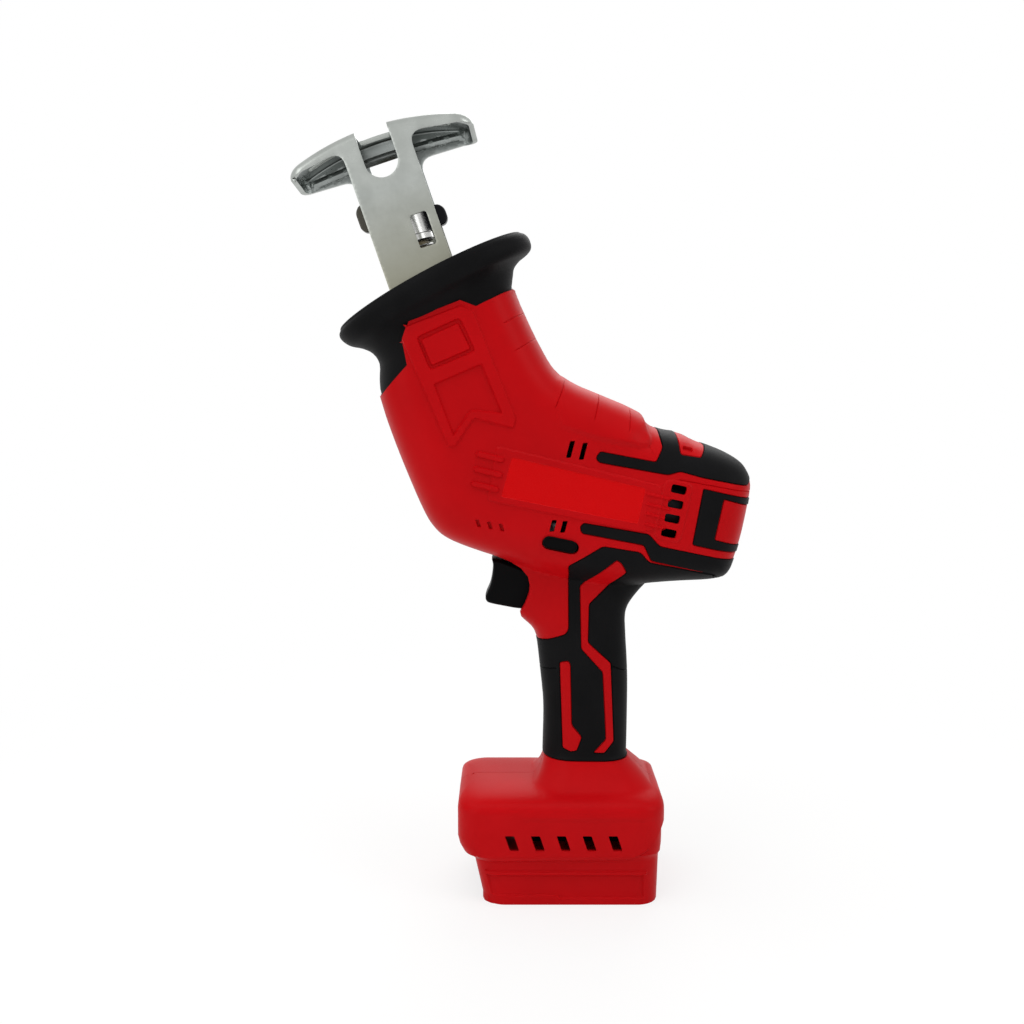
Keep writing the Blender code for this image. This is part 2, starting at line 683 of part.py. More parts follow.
def make_housings():
    """The two shells, split at the parting plane."""
    whole = body_solid("housing")
    cut(whole, band_zone("band_room", FIT))
    join(whole, body_solid("band_core", BAND_THICKNESS + FIT))
    handle = handle_solid("handle")
    cut(handle, box("grip_room", (-40.0, 90.0), (-40.0, 40.0), (GRIP_BOTTOM_Z - FIT, GRIP_TOP_Z + FIT)))
    join(handle, handle_solid("handle_core", GRIP_THICKNESS + FIT))
    join(handle, foot_solid("foot"))
    join(whole, handle)
    cut(whole, housing_void())
    cut(whole, battery_channel())
    half = TERMINAL_HALF_WIDTH + FIT
    cut(whole, box("terminal_slot", (TERMINAL_X[0] - FIT, TERMINAL_X[1] + FIT), (-half, half),
                   (CHANNEL_TOP_Z - 1.0, CHANNEL_TOP_Z + WALL + 1.0)))
    for _, x, z, seat in screw_places():
        cut(whole, screw_bore(x, z, seat), screw_sink(x, z, seat))
    cut(whole, *vent_cutters())
    return split(whole, "left_housing", "right_housing", "red_nylon")


def make_grips():
    """The soft grip round the handle, moulded onto each shell."""
    grip = handle_solid("grip", 0.0, GRIP_BOTTOM_Z, GRIP_TOP_Z)
    cut(grip, handle_solid("grip_core", GRIP_THICKNESS))
    for name, x, z, seat in screw_places():
        if name.startswith("handle"):
            cut(grip, screw_sink(x, z, seat))
    return split(grip, "left_grip", "right_grip", "black_rubber")


def make_rear_bands():
    """The soft band round the motor end, moulded onto each shell."""
    band = body_solid("band")
    common(band, band_zone("zone"))
    cut(band, body_solid("core", BAND_THICKNESS))
    return split(band, "left_rear_band", "right_rear_band", "black_rubber")


def make_boot():
    """The rubber boot over the nose: a bent, flared sleeve."""
    sides = 28
    rings = []

    def ring(front, rear, half_width):
        points = []
        middle = ((front[0] + rear[0]) / 2, (front[1] + rear[1]) / 2)
        reach = ((rear[0] - front[0]) / 2, (rear[1] - front[1]) / 2)
        for i in range(sides):
            angle = 2.0 * math.pi * i / sides
            bend = BOOT_BEND * math.sin(angle) ** 2 * front[1] / BOOT_RINGS[-1][0][1]
            points.append(boot_point(
                middle[0] + reach[0] * math.cos(angle), half_width * math.sin(angle),
                middle[1] + reach[1] * math.cos(angle) + bend,
            ))
        return points

    for front, rear, half_width in BOOT_RINGS:
        rings.append(ring(front, rear, half_width))
    for front, rear, half_width in reversed(BOOT_RINGS):
        inner_front, inner_rear = (front[0] + BOOT_WALL, front[1]), (rear[0] - BOOT_WALL, rear[1])
        rings.append(ring(inner_front, inner_rear, half_width - BOOT_WALL))
    return tube_loft("nose_boot", rings, "black_rubber")


def make_screws():
    """The housing screws, driven from the right side."""
    for name, x, z, seat in screw_places():
        under = seat + FIT
        shank = cylinder(name, xz_point(x, -SCREW_DEPTH, z), xz_point(x, under + 0.5, z), SCREW_RADIUS, BOLT_ROUND)
        top = under + SCREW_HEAD_HEIGHT
        join(shank, cylinder("head", xz_point(x, under, z), xz_point(x, top, z), SCREW_HEAD_RADIUS, BOLT_ROUND))
        paint(shank, "bright_steel")


# ---------------------------------------------------------------- shoe
def arc_height(p, radius):
    """Height above the arc's centre at a place across the foot plate."""
    return math.sqrt(radius ** 2 - (p + 2.0) ** 2)


def make_shoe():
    """The stamped yoke: two stem plates, the curved foot plate with its flanges, the blade slot."""
    centre = SHOE_CROWN - FOOT_PLATE_RADIUS
    ends = (FOOT_PLATE_CENTRE - FOOT_PLATE_HALF_LENGTH, FOOT_PLATE_CENTRE + FOOT_PLATE_HALF_LENGTH)
    steps = 12
    across = [ends[0] + (ends[1] - ends[0]) * k / steps for k in range(steps + 1)]
    width, wall = SHOE_HALF_WIDTH, SHOE_HALF_WIDTH - SHOE_PLATE
    channel = (
        (-width, -SHOE_PLATE - NEAR_FLANGE_DEPTH), (-width, 0.0), (width, 0.0),
        (width, -SHOE_PLATE - FAR_FLANGE_DEPTH), (wall, -SHOE_PLATE - FAR_FLANGE_DEPTH),
        (wall, -SHOE_PLATE), (-wall, -SHOE_PLATE), (-wall, -SHOE_PLATE - NEAR_FLANGE_DEPTH),
    )
    rings = []
    for p in across:
        crown = centre + arc_height(p, FOOT_PLATE_RADIUS)
        rings.append([blade_point(p, y, crown + b) for y, b in channel])
    shoe = loft("shoe", rings)
    stem = (-STEM_HALF_WIDTH, STEM_HALF_WIDTH)
    for side in (-1, 1):
        sheet = sorted_range(side * (width - SHOE_PLATE), side * width)
        plate = box("stem", stem, sheet, (STEM_START, SHOE_CROWN - SHOE_PLATE - 2.0), blade_point)
        join(shoe, plate)
    notch_floor = SHOE_CROWN - NOTCH_DEPTH
    slot = BLADE_SLOT_HALF_WIDTH
    # the slot is open at the near side; at the far side a window under the flange continues it
    near, far = -width - 5.0, wall - 6.0
    cut(shoe, box("slot", (-slot, slot), (near, far), (notch_floor + slot, SHOE_CROWN + 5.0), blade_point))
    floor_start, floor_end = blade_point(0.0, near, notch_floor + slot), blade_point(0.0, 0.0, notch_floor + slot)
    cut(shoe, cylinder("slot_floor", floor_start, floor_end, slot))
    window_top = SHOE_CROWN - FAR_FLANGE_DEPTH - SHOE_PLATE
    cut(shoe, box("far_window", (-slot, slot), (0.0, width + 5.0), (notch_floor + 1.0, window_top), blade_point))
    half = TRAY_HOLE_HALF_WIDTH
    for p in TRAY_HOLES:
        across_hole = (p - TRAY_HOLE_HALF_LENGTH, p + TRAY_HOLE_HALF_LENGTH)
        cut(shoe, box("tray_hole", across_hole, (-half, half), (SHOE_CROWN - 20.0, SHOE_CROWN + 5.0), blade_point))
    cut(shoe, box("stem_window", STEM_WINDOW_P, (-width - 5.0, -width + 5.0), STEM_WINDOW_B, blade_point))
    for side in (-1, 1):
        start, end = blade_point(0.0, side * (width + 2.0), SHOE_SCREW_B), blade_point(0.0, side * 10.0, SHOE_SCREW_B)
        cut(shoe, cylinder("screw_hole", start, end, SHOE_SCREW_RADIUS + FIT, BOLT_ROUND))
    return paint(shoe, "shoe_steel")


def make_shoe_screws():
    """One screw through each stem plate into the side of the gear case's nose."""
    for name, side in (("left_shoe_screw", -1), ("right_shoe_screw", 1)):
        face = side * (SHOE_HALF_WIDTH + FIT)
        tip = side * (SPINDLE_RADIUS + 3.5)
        tip_point, neck_point, seat_point, head_point = (
            blade_point(0.0, y, SHOE_SCREW_B) for y in (tip, face + side * 0.5, face, face + side * SHOE_SCREW_HEAD)
        )
        shank = cylinder(name, tip_point, neck_point, SHOE_SCREW_RADIUS, BOLT_ROUND)
        join(shank, cylinder("head", seat_point, head_point, SHOE_SCREW_RADIUS + 2.0, BOLT_ROUND))
        paint(shank, "bright_steel")


# ---------------------------------------------------------------- gear case and what runs in it
def yoke_half_length():
    """Half the length of a yoke across the blade axis."""
    return CRANK_RADIUS + CRANK_PIN_RADIUS + FIT + YOKE_END_WALL


def yoke_room_floor():
    """Depth of the yokes' room below the gear axle, inside the gear drum."""
    return math.sqrt((GEAR_TOOTH_OUTER + 1.0) ** 2 - (COUNTERWEIGHT_TAIL + 1.0) ** 2)


def make_gear_case():
    """The two halves of the cast gear case."""
    case = gear_case_outer("gear_case")
    face, back = gear_face() - 3 * FIT, gear_back() + FIT
    room = GEAR_TOOTH_OUTER + 1.0
    for side in (-1, 1):
        near, far = side * face, side * back
        cut(case, cylinder("gear_room", AXLE + Y_AXIS * near, AXLE + Y_AXIS * far, room, 36))
        hub_end = side * (gear_back() + GEAR_HUB_LENGTH + FIT)
        start, end = AXLE + Y_AXIS * side * (back - 1.0), AXLE + Y_AXIS * hub_end
        cut(case, cylinder("bearing_room", start, end, GEAR_BEARING_RADIUS + FIT))
    yoke = yoke_half_length() + FIT
    layer = YOKE_GAP + YOKE_THICKNESS + FIT
    ceiling, waist, floor = SPINDLE_NECK_END - 1.0, -YOKE_HALF_HEIGHT - CRANK_RADIUS - FIT, -yoke_room_floor()
    tail = COUNTERWEIGHT_TAIL + FIT
    outline = ((-yoke, waist), (-tail, floor), (tail, floor), (yoke, waist), (yoke, ceiling), (-yoke, ceiling))
    cut(case, prism("yoke_room", outline, -layer, layer, blade_point))
    neck_end = SPINDLE_NECK_END + CRANK_RADIUS + 1.5
    cut(case, box("neck_room", (-SPINDLE_RADIUS, SPINDLE_RADIUS), (-layer, layer), (0.0, neck_end), blade_point))
    cut(case, cylinder("pinion_room", motor_point(14.0), motor_point(PINION_END + 1.5), PINION_TIP_RADIUS + 0.9))
    start, end = motor_point(PINION_END + 1.0), motor_point(CASE_SNOUT_END + 1.0)
    cut(case, cylinder("bearing_room", start, end, MOTOR_BEARING_RADIUS + FIT))
    start, end = blade_point(0, 0, 20.0), blade_point(0, 0, CASE_NOSE_END + 1.0)
    cut(case, cylinder("spindle_room", start, end, SPINDLE_RADIUS + 1.0))
    for low, high in (REAR_BUSHING, FRONT_BUSHING, SEAL):
        start, end = blade_point(0, 0, low - FIT), blade_point(0, 0, high + FIT)
        cut(case, cylinder("bushing_room", start, end, BUSHING_RADIUS + FIT))
    for side in (-1, 1):
        start = blade_point(0, side * (SHOE_HALF_WIDTH + 3.0), SHOE_SCREW_B)
        end = blade_point(0, side * (SPINDLE_RADIUS + 3.2), SHOE_SCREW_B)
        cut(case, cylinder("screw_hole", start, end, SHOE_SCREW_RADIUS + FIT, BOLT_ROUND))
    return split(case, "left_gear_case", "right_gear_case", "cast_aluminium")


def make_gear(name, side):
    """A crown gear: teeth on the face towards the pinion, a crank stub, a hub on its back."""
    columns = 2 * GEAR_TEETH
    face, back = gear_face(), gear_back()
    root = face + TOOTH_HEIGHT

    def ring(radius, depth_of):
        points = []
        for i in range(columns):
            angle = math.radians(BLADE_TILT) + 2.0 * math.pi * (i + 0.5) / columns
            spot = Vector((radius * math.cos(angle), 0.0, radius * math.sin(angle)))
            points.append(AXLE + spot + Y_AXIS * side * depth_of(i))
        return points

    inner = GEAR_TOOTH_INNER
    rings = [
        ring(GEAR_TOOTH_OUTER, lambda i: back), ring(GEAR_TOOTH_OUTER, lambda i: face if i % 2 else root),
        ring(inner, lambda i: face if i % 2 else root), ring(inner, lambda i: root),
    ]
    gear = loft(name, rings)
    start, end = AXLE + Y_AXIS * side * (back - 0.5), AXLE + Y_AXIS * side * (back + GEAR_HUB_LENGTH)
    join(gear, cylinder("hub", start, end, GEAR_HUB_RADIUS))
    crank, stub = AXLE - BLADE_P * CRANK_RADIUS, YOKE_GAP + YOKE_THICKNESS + FIT
    start, end = crank + Y_AXIS * side * stub, crank + Y_AXIS * side * (root + 1.0)
    join(gear, cylinder("crank", start, end, CRANK_PIN_RADIUS, 16))
    return paint(gear, "bright_steel")


def make_gears():
    """The drive gear on the left, the balance gear on the right, and their bearings."""
    for side, gear in ((-1, "drive_gear"), (1, "balance_gear")):
        make_gear(gear, side)
        low, high = sorted_range(side * (gear_back() + FIT + 0.2), side * (gear_back() + GEAR_HUB_LENGTH))
        start, end = AXLE + Y_AXIS * low, AXLE + Y_AXIS * high
        sleeve(gear + "_bearing", start, end, GEAR_BEARING_RADIUS, GEAR_HUB_RADIUS + RUN, material="bright_steel")


def make_pinion():
    """The pinion on the front end of the motor shaft."""
    root = PINION_TIP_RADIUS - 2.2 * GEAR_MODULE
    sides = 4 * PINION_TEETH
    rings = []
    for s in (PINION_START, PINION_END):
        ring = []
        for i in range(sides):
            radius = PINION_TIP_RADIUS if i % 4 < 2 else root
            angle = 2.0 * math.pi * i / sides
            ring.append(motor_point(s, radius * math.cos(angle), radius * math.sin(angle)))
        rings.append(ring)
    pinion = loft("motor_pinion", rings, "bright_steel")
    cut(pinion, cylinder("bore", motor_point(PINION_START - 1), motor_point(PINION_END + 1), SHAFT_RADIUS + FIT, 16))
    return pinion


def make_spindle():
    """The reciprocating spindle: yoke, neck and round rod."""
    half = yoke_half_length()
    layer = (-YOKE_GAP - YOKE_THICKNESS, -YOKE_GAP)
    spindle = box("spindle", (-half, half), layer, (-YOKE_HALF_HEIGHT, YOKE_HALF_HEIGHT), blade_point)
    neck = SPINDLE_RADIUS - 0.4
    join(spindle, box("neck", (-neck, neck), layer, (YOKE_HALF_HEIGHT - 1.0, SPINDLE_NECK_END + 1.0), blade_point))
    start, end = blade_point(0, 0, SPINDLE_NECK_END), blade_point(0, 0, CLAMP_START - FIT)
    join(spindle, cylinder("rod", start, end, SPINDLE_RADIUS))
    cut(spindle, yoke_slot(layer))
    return paint(spindle, "bright_steel")


def yoke_slot(layer):
    """The slot of a yoke, where the crank pin of the real saw runs."""
    reach, high = CRANK_RADIUS + CRANK_PIN_RADIUS + FIT, CRANK_PIN_RADIUS + FIT
    return box("slot", (-reach, reach), (layer[0] - 1.0, layer[1] + 1.0), (-high, high), blade_point)


def make_counterweight():
    """The counterweight that slides against the spindle."""
    half = yoke_half_length()
    layer = (YOKE_GAP, YOKE_GAP + YOKE_THICKNESS)
    tail, bottom = COUNTERWEIGHT_TAIL, -(yoke_room_floor() - CRANK_RADIUS - FIT)
    outline = (
        (-half, -YOKE_HALF_HEIGHT), (-tail, bottom), (tail, bottom),
        (half, -YOKE_HALF_HEIGHT), (half, YOKE_HALF_HEIGHT), (-half, YOKE_HALF_HEIGHT),
    )
    weight = prism("counterweight", outline, layer[0], layer[1], blade_point)
    cut(weight, yoke_slot(layer))
    return paint(weight, "bright_steel")


def make_spindle_guides():
    """Bushings and seal of the spindle."""
    for name, (low, high), material in (
        ("spindle_rear_bushing", REAR_BUSHING, "bronzed_steel"),
        ("spindle_front_bushing", FRONT_BUSHING, "bronzed_steel"),
        ("spindle_seal", SEAL, "black_rubber"),
    ):
        start, end = blade_point(0, 0, low), blade_point(0, 0, high)
        sleeve(name, start, end, BUSHING_RADIUS, SPINDLE_RADIUS + RUN, material=material)


# ---------------------------------------------------------------- blade clamp
def make_clamp():
    """The blade clamp at the spindle's end."""
    start, end = blade_point(0, 0, CLAMP_START), blade_point(0, 0, CLAMP_END)
    body = cylinder("clamp_body", start, end, CLAMP_RADIUS)
    half, gap = BLADE_TANG_HALF_WIDTH, BLADE_SLOT_GAP
    cut(body, box("blade_slot", (-half, half), (-gap, gap), (BLADE_TANG_START, CLAMP_END + 1.0), blade_point))
    outside, middle = blade_point(0, -CLAMP_RADIUS - 1.0, LOCK_PIN_B), blade_point(0, 0, LOCK_PIN_B)
    cut(body, cylinder("pin_hole", outside, middle, LOCK_PIN_RADIUS + FIT, BOLT_ROUND))
    paint(body, "bronzed_steel")
    head, tip = blade_point(0, FIT - CLAMP_RADIUS, LOCK_PIN_B), blade_point(0, -BLADE_SLOT_GAP - FIT, LOCK_PIN_B)
    cylinder("blade_lock_pin", head, tip, LOCK_PIN_RADIUS, BOLT_ROUND, "bright_steel")

    twist = sleeve("clamp_sleeve", blade_point(0, 0, SLEEVE_START), blade_point(0, 0, SLEEVE_END), SLEEVE_RADIUS,
                   CLAMP_RADIUS + FIT)
    for side, middle in ((-1, LEFT_LUG), (1, RIGHT_LUG)):
        reach, along = sorted_range(side * (CLAMP_RADIUS + 1.5), side * LUG_REACH), LUG_LENGTH / 2
        thick = (-LUG_HALF_THICKNESS, LUG_HALF_THICKNESS)
        join(twist, box("lug", reach, thick, (middle - along, middle + along), blade_point))
    paint(twist, "bronzed_steel")

    low, high = blade_point(0, 0, SLEEVE_END + FIT), blade_point(0, 0, SLEEVE_END + FIT + 1.5)
    sleeve("clamp_retaining_ring", low, high, CLAMP_RADIUS + 2.0, CLAMP_RADIUS + FIT, material="bright_steel")
    length = SLEEVE_START - CLAMP_START - 2.2
    make_coil("clamp_spring", blade_point(0, 0, CLAMP_START + 1.0), BLADE_B, CLAMP_RADIUS + 1.3, 0.55, length, 2.5)


def make_coil(name, start, axis, radius, wire, length, turns):
    """A helical spring of round wire."""
    steps = int(turns * 8)
    turn = axis.to_track_quat("Z", "X").to_matrix()
    curve = bpy.data.curves.new(name, "CURVE")
    curve.dimensions = "3D"
    curve.bevel_depth = wire * MM
    curve.bevel_resolution = 1
    curve.use_fill_caps = True
    spline = curve.splines.new("POLY")
    spline.points.add(steps)
    for k in range(steps + 1):
        angle = 2.0 * math.pi * turns * k / steps
        spot = Vector((radius * math.cos(angle), radius * math.sin(angle), length * k / steps))
        spline.points[k].co = (*((start + turn @ spot) * MM), 1.0)
    coil = bpy.data.objects.new(name, curve)
    curve.materials.append(MATERIALS["bright_steel"])
    SAW.objects.link(coil)
    return coil


# ---------------------------------------------------------------- motor
def make_motor():
    """The brushed motor, its fan and its bearings."""
    start = motor_point(CAN_START)
    length = CAN_END - CAN_START
    magnet = ARMATURE_RADIUS + MAGNET_GAP
    mouth = MOTOR_BEARING_RADIUS + 4.0
    turned("motor_can", (
        (mouth, 0.0), (CAN_RADIUS, 0.0), (CAN_RADIUS, length), (magnet, length), (magnet, 2.0), (mouth, 2.0),
    ), start, MOTOR_S, 28, "bright_steel")

    shaft_start = PINION_START + 0.5
    armature = cylinder("armature", motor_point(shaft_start), motor_point(SHAFT_END), SHAFT_RADIUS, 16)
    slots = 8
    ring = []
    for k in range(slots):
        for offset, radius in ((-17.0, ARMATURE_RADIUS), (0.0, ARMATURE_RADIUS), (17.0, ARMATURE_RADIUS),
                               (20.0, ARMATURE_RADIUS - 5.0), (25.0, ARMATURE_RADIUS - 5.0)):
            angle = math.radians(360.0 * k / slots + offset)
            ring.append((radius * math.cos(angle), radius * math.sin(angle)))
    rings = [[motor_point(s, a, c) for a, c in ring] for s in (ARMATURE_START, ARMATURE_END)]
    join(armature, loft("stack", rings))
    paint(armature, "copper")

    start, end = motor_point(COMMUTATOR_START), motor_point(COMMUTATOR_END)
    sleeve("commutator", start, end, COMMUTATOR_RADIUS, SHAFT_RADIUS + FIT, material="copper")
    bore, hub, disc, width = SHAFT_RADIUS + FIT, SHAFT_RADIUS + 3.0, 2.0, FAN_END - FAN_START
    fan = turned("cooling_fan", (
        (bore, 0.0), (FAN_RADIUS, 0.0), (FAN_RADIUS, disc), (hub, disc), (hub, width), (bore, width),
    ), motor_point(FAN_START), MOTOR_S)
    blades = 9
    for k in range(blades):
        angle = 360.0 * k / blades
        spoke = Vector((0.0, math.cos(math.radians(angle)), 0.0)) + MOTOR_Q * math.sin(math.radians(angle))
        side = spoke.cross(MOTOR_S)

        def fan_point(a, y, c, spoke=spoke, side=side):
            return motor_point(c) + spoke * a + side * y

        join(fan, box("blade", (10.0, FAN_RADIUS - 0.5), (-0.6, 0.6), (FAN_START + 1.5, FAN_END), fan_point))
    paint(fan, "black_nylon")

    start, end = motor_point(PINION_END + 1.6), motor_point(CASE_SNOUT_END)
    sleeve("front_motor_bearing", start, end, MOTOR_BEARING_RADIUS, SHAFT_RADIUS + RUN, material="bright_steel")
    bell_start = CAN_END + FIT
    bell = END_BELL_END - bell_start
    brush_out = COMMUTATOR_RADIUS + 1.0
    cup = MOTOR_BEARING_RADIUS + FIT
    cup_floor = bell - 9.0
    turned("motor_end_bell", (
        (brush_out + 5.0, 0.0), (END_BELL_RADIUS, 0.0), (END_BELL_RADIUS, cup_floor), (cup + 2.5, bell), (cup, bell),
        (cup, cup_floor), (brush_out + 5.0, cup_floor - 3.0),
    ), motor_point(bell_start), MOTOR_S, ROUND, "black_nylon")
    start, end = motor_point(bell_start + cup_floor + 1.0), motor_point(END_BELL_END)
    sleeve("rear_motor_bearing", start, end, MOTOR_BEARING_RADIUS, SHAFT_RADIUS + RUN, material="bright_steel")
    for name, side in (("upper_brush", 1), ("lower_brush", -1)):
        reach = sorted_range(side * (COMMUTATOR_RADIUS + 0.3), side * (brush_out + 5.0 - 2 * FIT))
        box(name, (CAN_END + 0.6, COMMUTATOR_END - 1.0), (-2.5, 2.5), reach, motor_point, "carbon")


# ---------------------------------------------------------------- trigger group
def lock_solid(name, gap, half_length):
    """The lock button's bar: a flat oval along Y."""
    radius = LOCK_HALF_HEIGHT + gap
    reach = LOCK_HALF_LENGTH - LOCK_HALF_HEIGHT
    outline = []
    for centre, start in ((reach, -90.0), (-reach, 90.0)):
        for k in range(7):
            angle = math.radians(start + 30.0 * k)
            outline.append((centre + radius * math.cos(angle), radius * math.sin(angle)))

    def place(a, y, c):
        return xz_point(LOCK_X, y, LOCK_Z) + MOTOR_S * a + MOTOR_Q * c

    return prism(name, outline, -half_length, half_length, place)


def make_trigger_group():
    """The trigger, its return spring, the switch, and the lock button."""
    prism("trigger", TRIGGER_OUTLINE, -TRIGGER_HALF_WIDTH, TRIGGER_HALF_WIDTH, material="black_nylon")
    box("trigger_switch", SWITCH_X, (-SWITCH_HALF_WIDTH, SWITCH_HALF_WIDTH), SWITCH_Z, material="black_nylon")
    start, length = TRIGGER_BACK_X + 3 * FIT, SWITCH_X[0] - TRIGGER_BACK_X - 6 * FIT
    make_coil("trigger_spring", xz_point(start, 0.0, 155.0), Vector((1.0, 0.0, 0.0)), 3.0, 0.5, length, 5.0)
    paint(lock_solid("lock_button", 0.0, BODY_HALF_WIDTH + LOCK_PROUD), "black_nylon")


# ---------------------------------------------------------------- electrics
def make_lead(name, points, material):
    """An insulated lead through a few points, held along its whole way."""
    curve = bpy.data.curves.new(name, "CURVE")
    curve.dimensions = "3D"
    curve.bevel_depth = LEAD_RADIUS * MM
    curve.bevel_resolution = 2
    curve.use_fill_caps = True
    spline = curve.splines.new("POLY")
    spline.points.add(len(points) - 1)
    for spot, point in zip(spline.points, points):
        spot.co = (*(Vector(point) * MM), 1.0)
    lead = bpy.data.objects.new(name, curve)
    curve.materials.append(MATERIALS[material])
    SAW.objects.link(lead)
    return lead


def make_electrics():
    """Terminal block with its contact blades, controller, and the leads."""
    deck = CHANNEL_TOP_Z + WALL
    half, reach = TERMINAL_HALF_WIDTH, TERMINAL_HALF_WIDTH + TERMINAL_FLANGE
    flange_bottom, flange_top = deck + FIT, deck + FIT + TERMINAL_FLANGE
    block = box("terminal_block", TERMINAL_X, (-half, half), (GROOVE_TOP_Z - 3.0, flange_bottom + 1.0))
    flange_x = (TERMINAL_X[0] - TERMINAL_FLANGE, TERMINAL_X[1] + TERMINAL_FLANGE)
    join(block, box("flange", flange_x, (-reach, reach), (flange_bottom, flange_top)))
    paint(block, "black_nylon")
    for name, y in (("positive_contact", -10.0), ("signal_contact", 0.0), ("negative_contact", 10.0)):
        box(name, (TERMINAL_X[0] - 16.0, TERMINAL_X[0] - FIT), (y - 0.5, y + 0.5), (13.0, 20.0), material="copper")
    half = CONTROLLER_HALF_WIDTH
    box("speed_controller", CONTROLLER_X, (-half, half), CONTROLLER_Z, material="black_nylon")
    for name, material, y in (
        ("positive_battery_lead", "red_lead", -LEAD_Y), ("negative_battery_lead", "black_lead", LEAD_Y),
    ):
        make_lead(name, ((LEAD_X, y, flange_top + FIT), (LEAD_X, y, CONTROLLER_Z[0] - FIT)), material)
    for name, material, y in (
        ("positive_motor_lead", "red_lead", -MOTOR_LEAD_Y), ("negative_motor_lead", "black_lead", MOTOR_LEAD_Y),
    ):
        make_lead(name, [(x, y, z) for x, z in MOTOR_LEAD_PATH], material)


def centre_on_foot():
    """Moves the whole saw so that the origin is at the bottom centre of its box."""
    bpy.context.view_layer.update()
    xs = []
    for piece in SAW.objects:
        mesh = piece.evaluated_get(bpy.context.evaluated_depsgraph_get()).to_mesh()
        xs += [vert.co.x for vert in mesh.vertices]
    root = bpy.data.objects.new("saw_origin", None)
    SAW.objects.link(root)
    for piece in SAW.objects:
        if piece is not root:
            piece.parent = root
    root.location.x = -(min(xs) + max(xs)) / 2


def main():
    """Builds every piece."""
    make_housings()
    make_grips()
    make_rear_bands()
    make_boot()
    make_screws()
    make_shoe()
    make_shoe_screws()
    make_gear_case()
    make_gears()
    make_pinion()
    make_spindle()
    make_counterweight()
    make_spindle_guides()
    make_clamp()
    make_motor()
    make_trigger_group()
    make_electrics()
    centre_on_foot()


main()
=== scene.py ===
"""Visual model of a one-handed cordless reciprocating saw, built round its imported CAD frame.

The saw stands on its battery foot. Its moulded shells, soft overmould, nose boot, shoe, clamp, trigger
and screws are modelled here; what lies inside the shells keeps its CAD shape and gets its finish.

Side-view drawing: sizes are in millimetres, x towards the motor end, z up, y positive to the right side.
The drawing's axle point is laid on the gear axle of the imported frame, so every place follows from it.
"""

import json
import logging
import math
from dataclasses import dataclass, field
from enum import Enum
from typing import Iterable, Sequence

import bmesh
import bpy
import numpy as np
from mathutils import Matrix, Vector
from mathutils.geometry import delaunay_2d_cdt
from mathutils.kdtree import KDTree


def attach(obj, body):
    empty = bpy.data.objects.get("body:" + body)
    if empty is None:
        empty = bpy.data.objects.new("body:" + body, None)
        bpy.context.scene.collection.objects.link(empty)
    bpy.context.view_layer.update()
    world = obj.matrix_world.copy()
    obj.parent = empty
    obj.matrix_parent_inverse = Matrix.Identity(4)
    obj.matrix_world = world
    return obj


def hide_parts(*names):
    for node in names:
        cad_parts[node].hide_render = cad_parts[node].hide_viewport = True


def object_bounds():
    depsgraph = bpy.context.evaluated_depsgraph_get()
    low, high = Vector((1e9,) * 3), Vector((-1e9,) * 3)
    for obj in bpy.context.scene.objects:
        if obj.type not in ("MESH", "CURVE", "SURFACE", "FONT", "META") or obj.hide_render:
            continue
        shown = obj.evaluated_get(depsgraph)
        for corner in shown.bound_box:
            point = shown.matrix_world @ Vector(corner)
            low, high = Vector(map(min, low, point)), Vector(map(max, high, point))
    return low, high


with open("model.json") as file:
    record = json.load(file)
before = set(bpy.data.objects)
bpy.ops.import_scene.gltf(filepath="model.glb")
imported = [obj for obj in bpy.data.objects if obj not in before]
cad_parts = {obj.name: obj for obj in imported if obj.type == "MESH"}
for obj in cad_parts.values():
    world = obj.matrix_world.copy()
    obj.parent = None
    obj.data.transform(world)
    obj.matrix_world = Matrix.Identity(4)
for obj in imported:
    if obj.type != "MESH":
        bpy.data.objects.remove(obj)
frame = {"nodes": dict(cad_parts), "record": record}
bpy.context.view_layer.update()
CAD_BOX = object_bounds()

MM = 0.001
LOG = logging.getLogger("saw")
Array = np.ndarray
Point2 = tuple[float, float]
Point3 = tuple[float, float, float]
Outline = Sequence[Point2]
Places = tuple[Point2, ...]
Line = tuple[Array, bool]  # the points of a line, and whether it is closed
Piece = bpy.types.Object
Node, Tree, Socket = bpy.types.Node, bpy.types.NodeTree, bpy.types.NodeSocket
SEAM = 0.15  # half the gap between left and right mouldings, mm
ROW_PITCH = 0.866  # rows of free points in spacings, which makes even-sided triangles
TINY = 1e-9


class Side(Enum):
    """Which half of the saw a moulding belongs to; the value is the sign of y."""

    LEFT = -1
    RIGHT = 1


# ---------------- the saw's frames
@dataclass(frozen=True)
class SawFrame:
    """The saw's own frames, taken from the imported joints."""

    axle: Vector
    blade: Vector
    motor: Vector
    drawing_axle: Point2 = (-13.7, 217.7)

    @classmethod
    def from_record(cls, record: dict) -> "SawFrame":
        """Reads the gear axle, the blade axis and the motor axis.

        Args:
            record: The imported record.

        Returns:
            The frames of this saw.
        """
        joints = {joint["name"]: joint for joint in record["behaviour"]["joints"]}
        return cls(
            axle=Vector(joints["drive_gear_spin"]["pos_m"]),
            blade=Vector(joints["spindle_slide"]["axis"]).normalized(),
            motor=Vector(joints["rotor_spin"]["axis"]).normalized(),
        )

    @property
    def across(self) -> Vector:
        """Unit vector across the blade in the parting plane, towards the motor end."""
        return Vector((self.blade.z, 0.0, -self.blade.x))

    def place(self, x: float, y: float, z: float) -> Vector:
        """World point of a side-view drawing point."""
        return Vector((self.axle.x + (x - self.drawing_axle[0]) * MM, y * MM, z * MM))

    def on_blade(self, p: float, y: float, b: float) -> Vector:
        """World point from millimetres across, beside and along the blade axis."""
        return self.axle + (self.across * p + self.blade * b) * MM + Vector((0.0, y * MM, 0.0))


SAW = SawFrame.from_record(frame["record"])


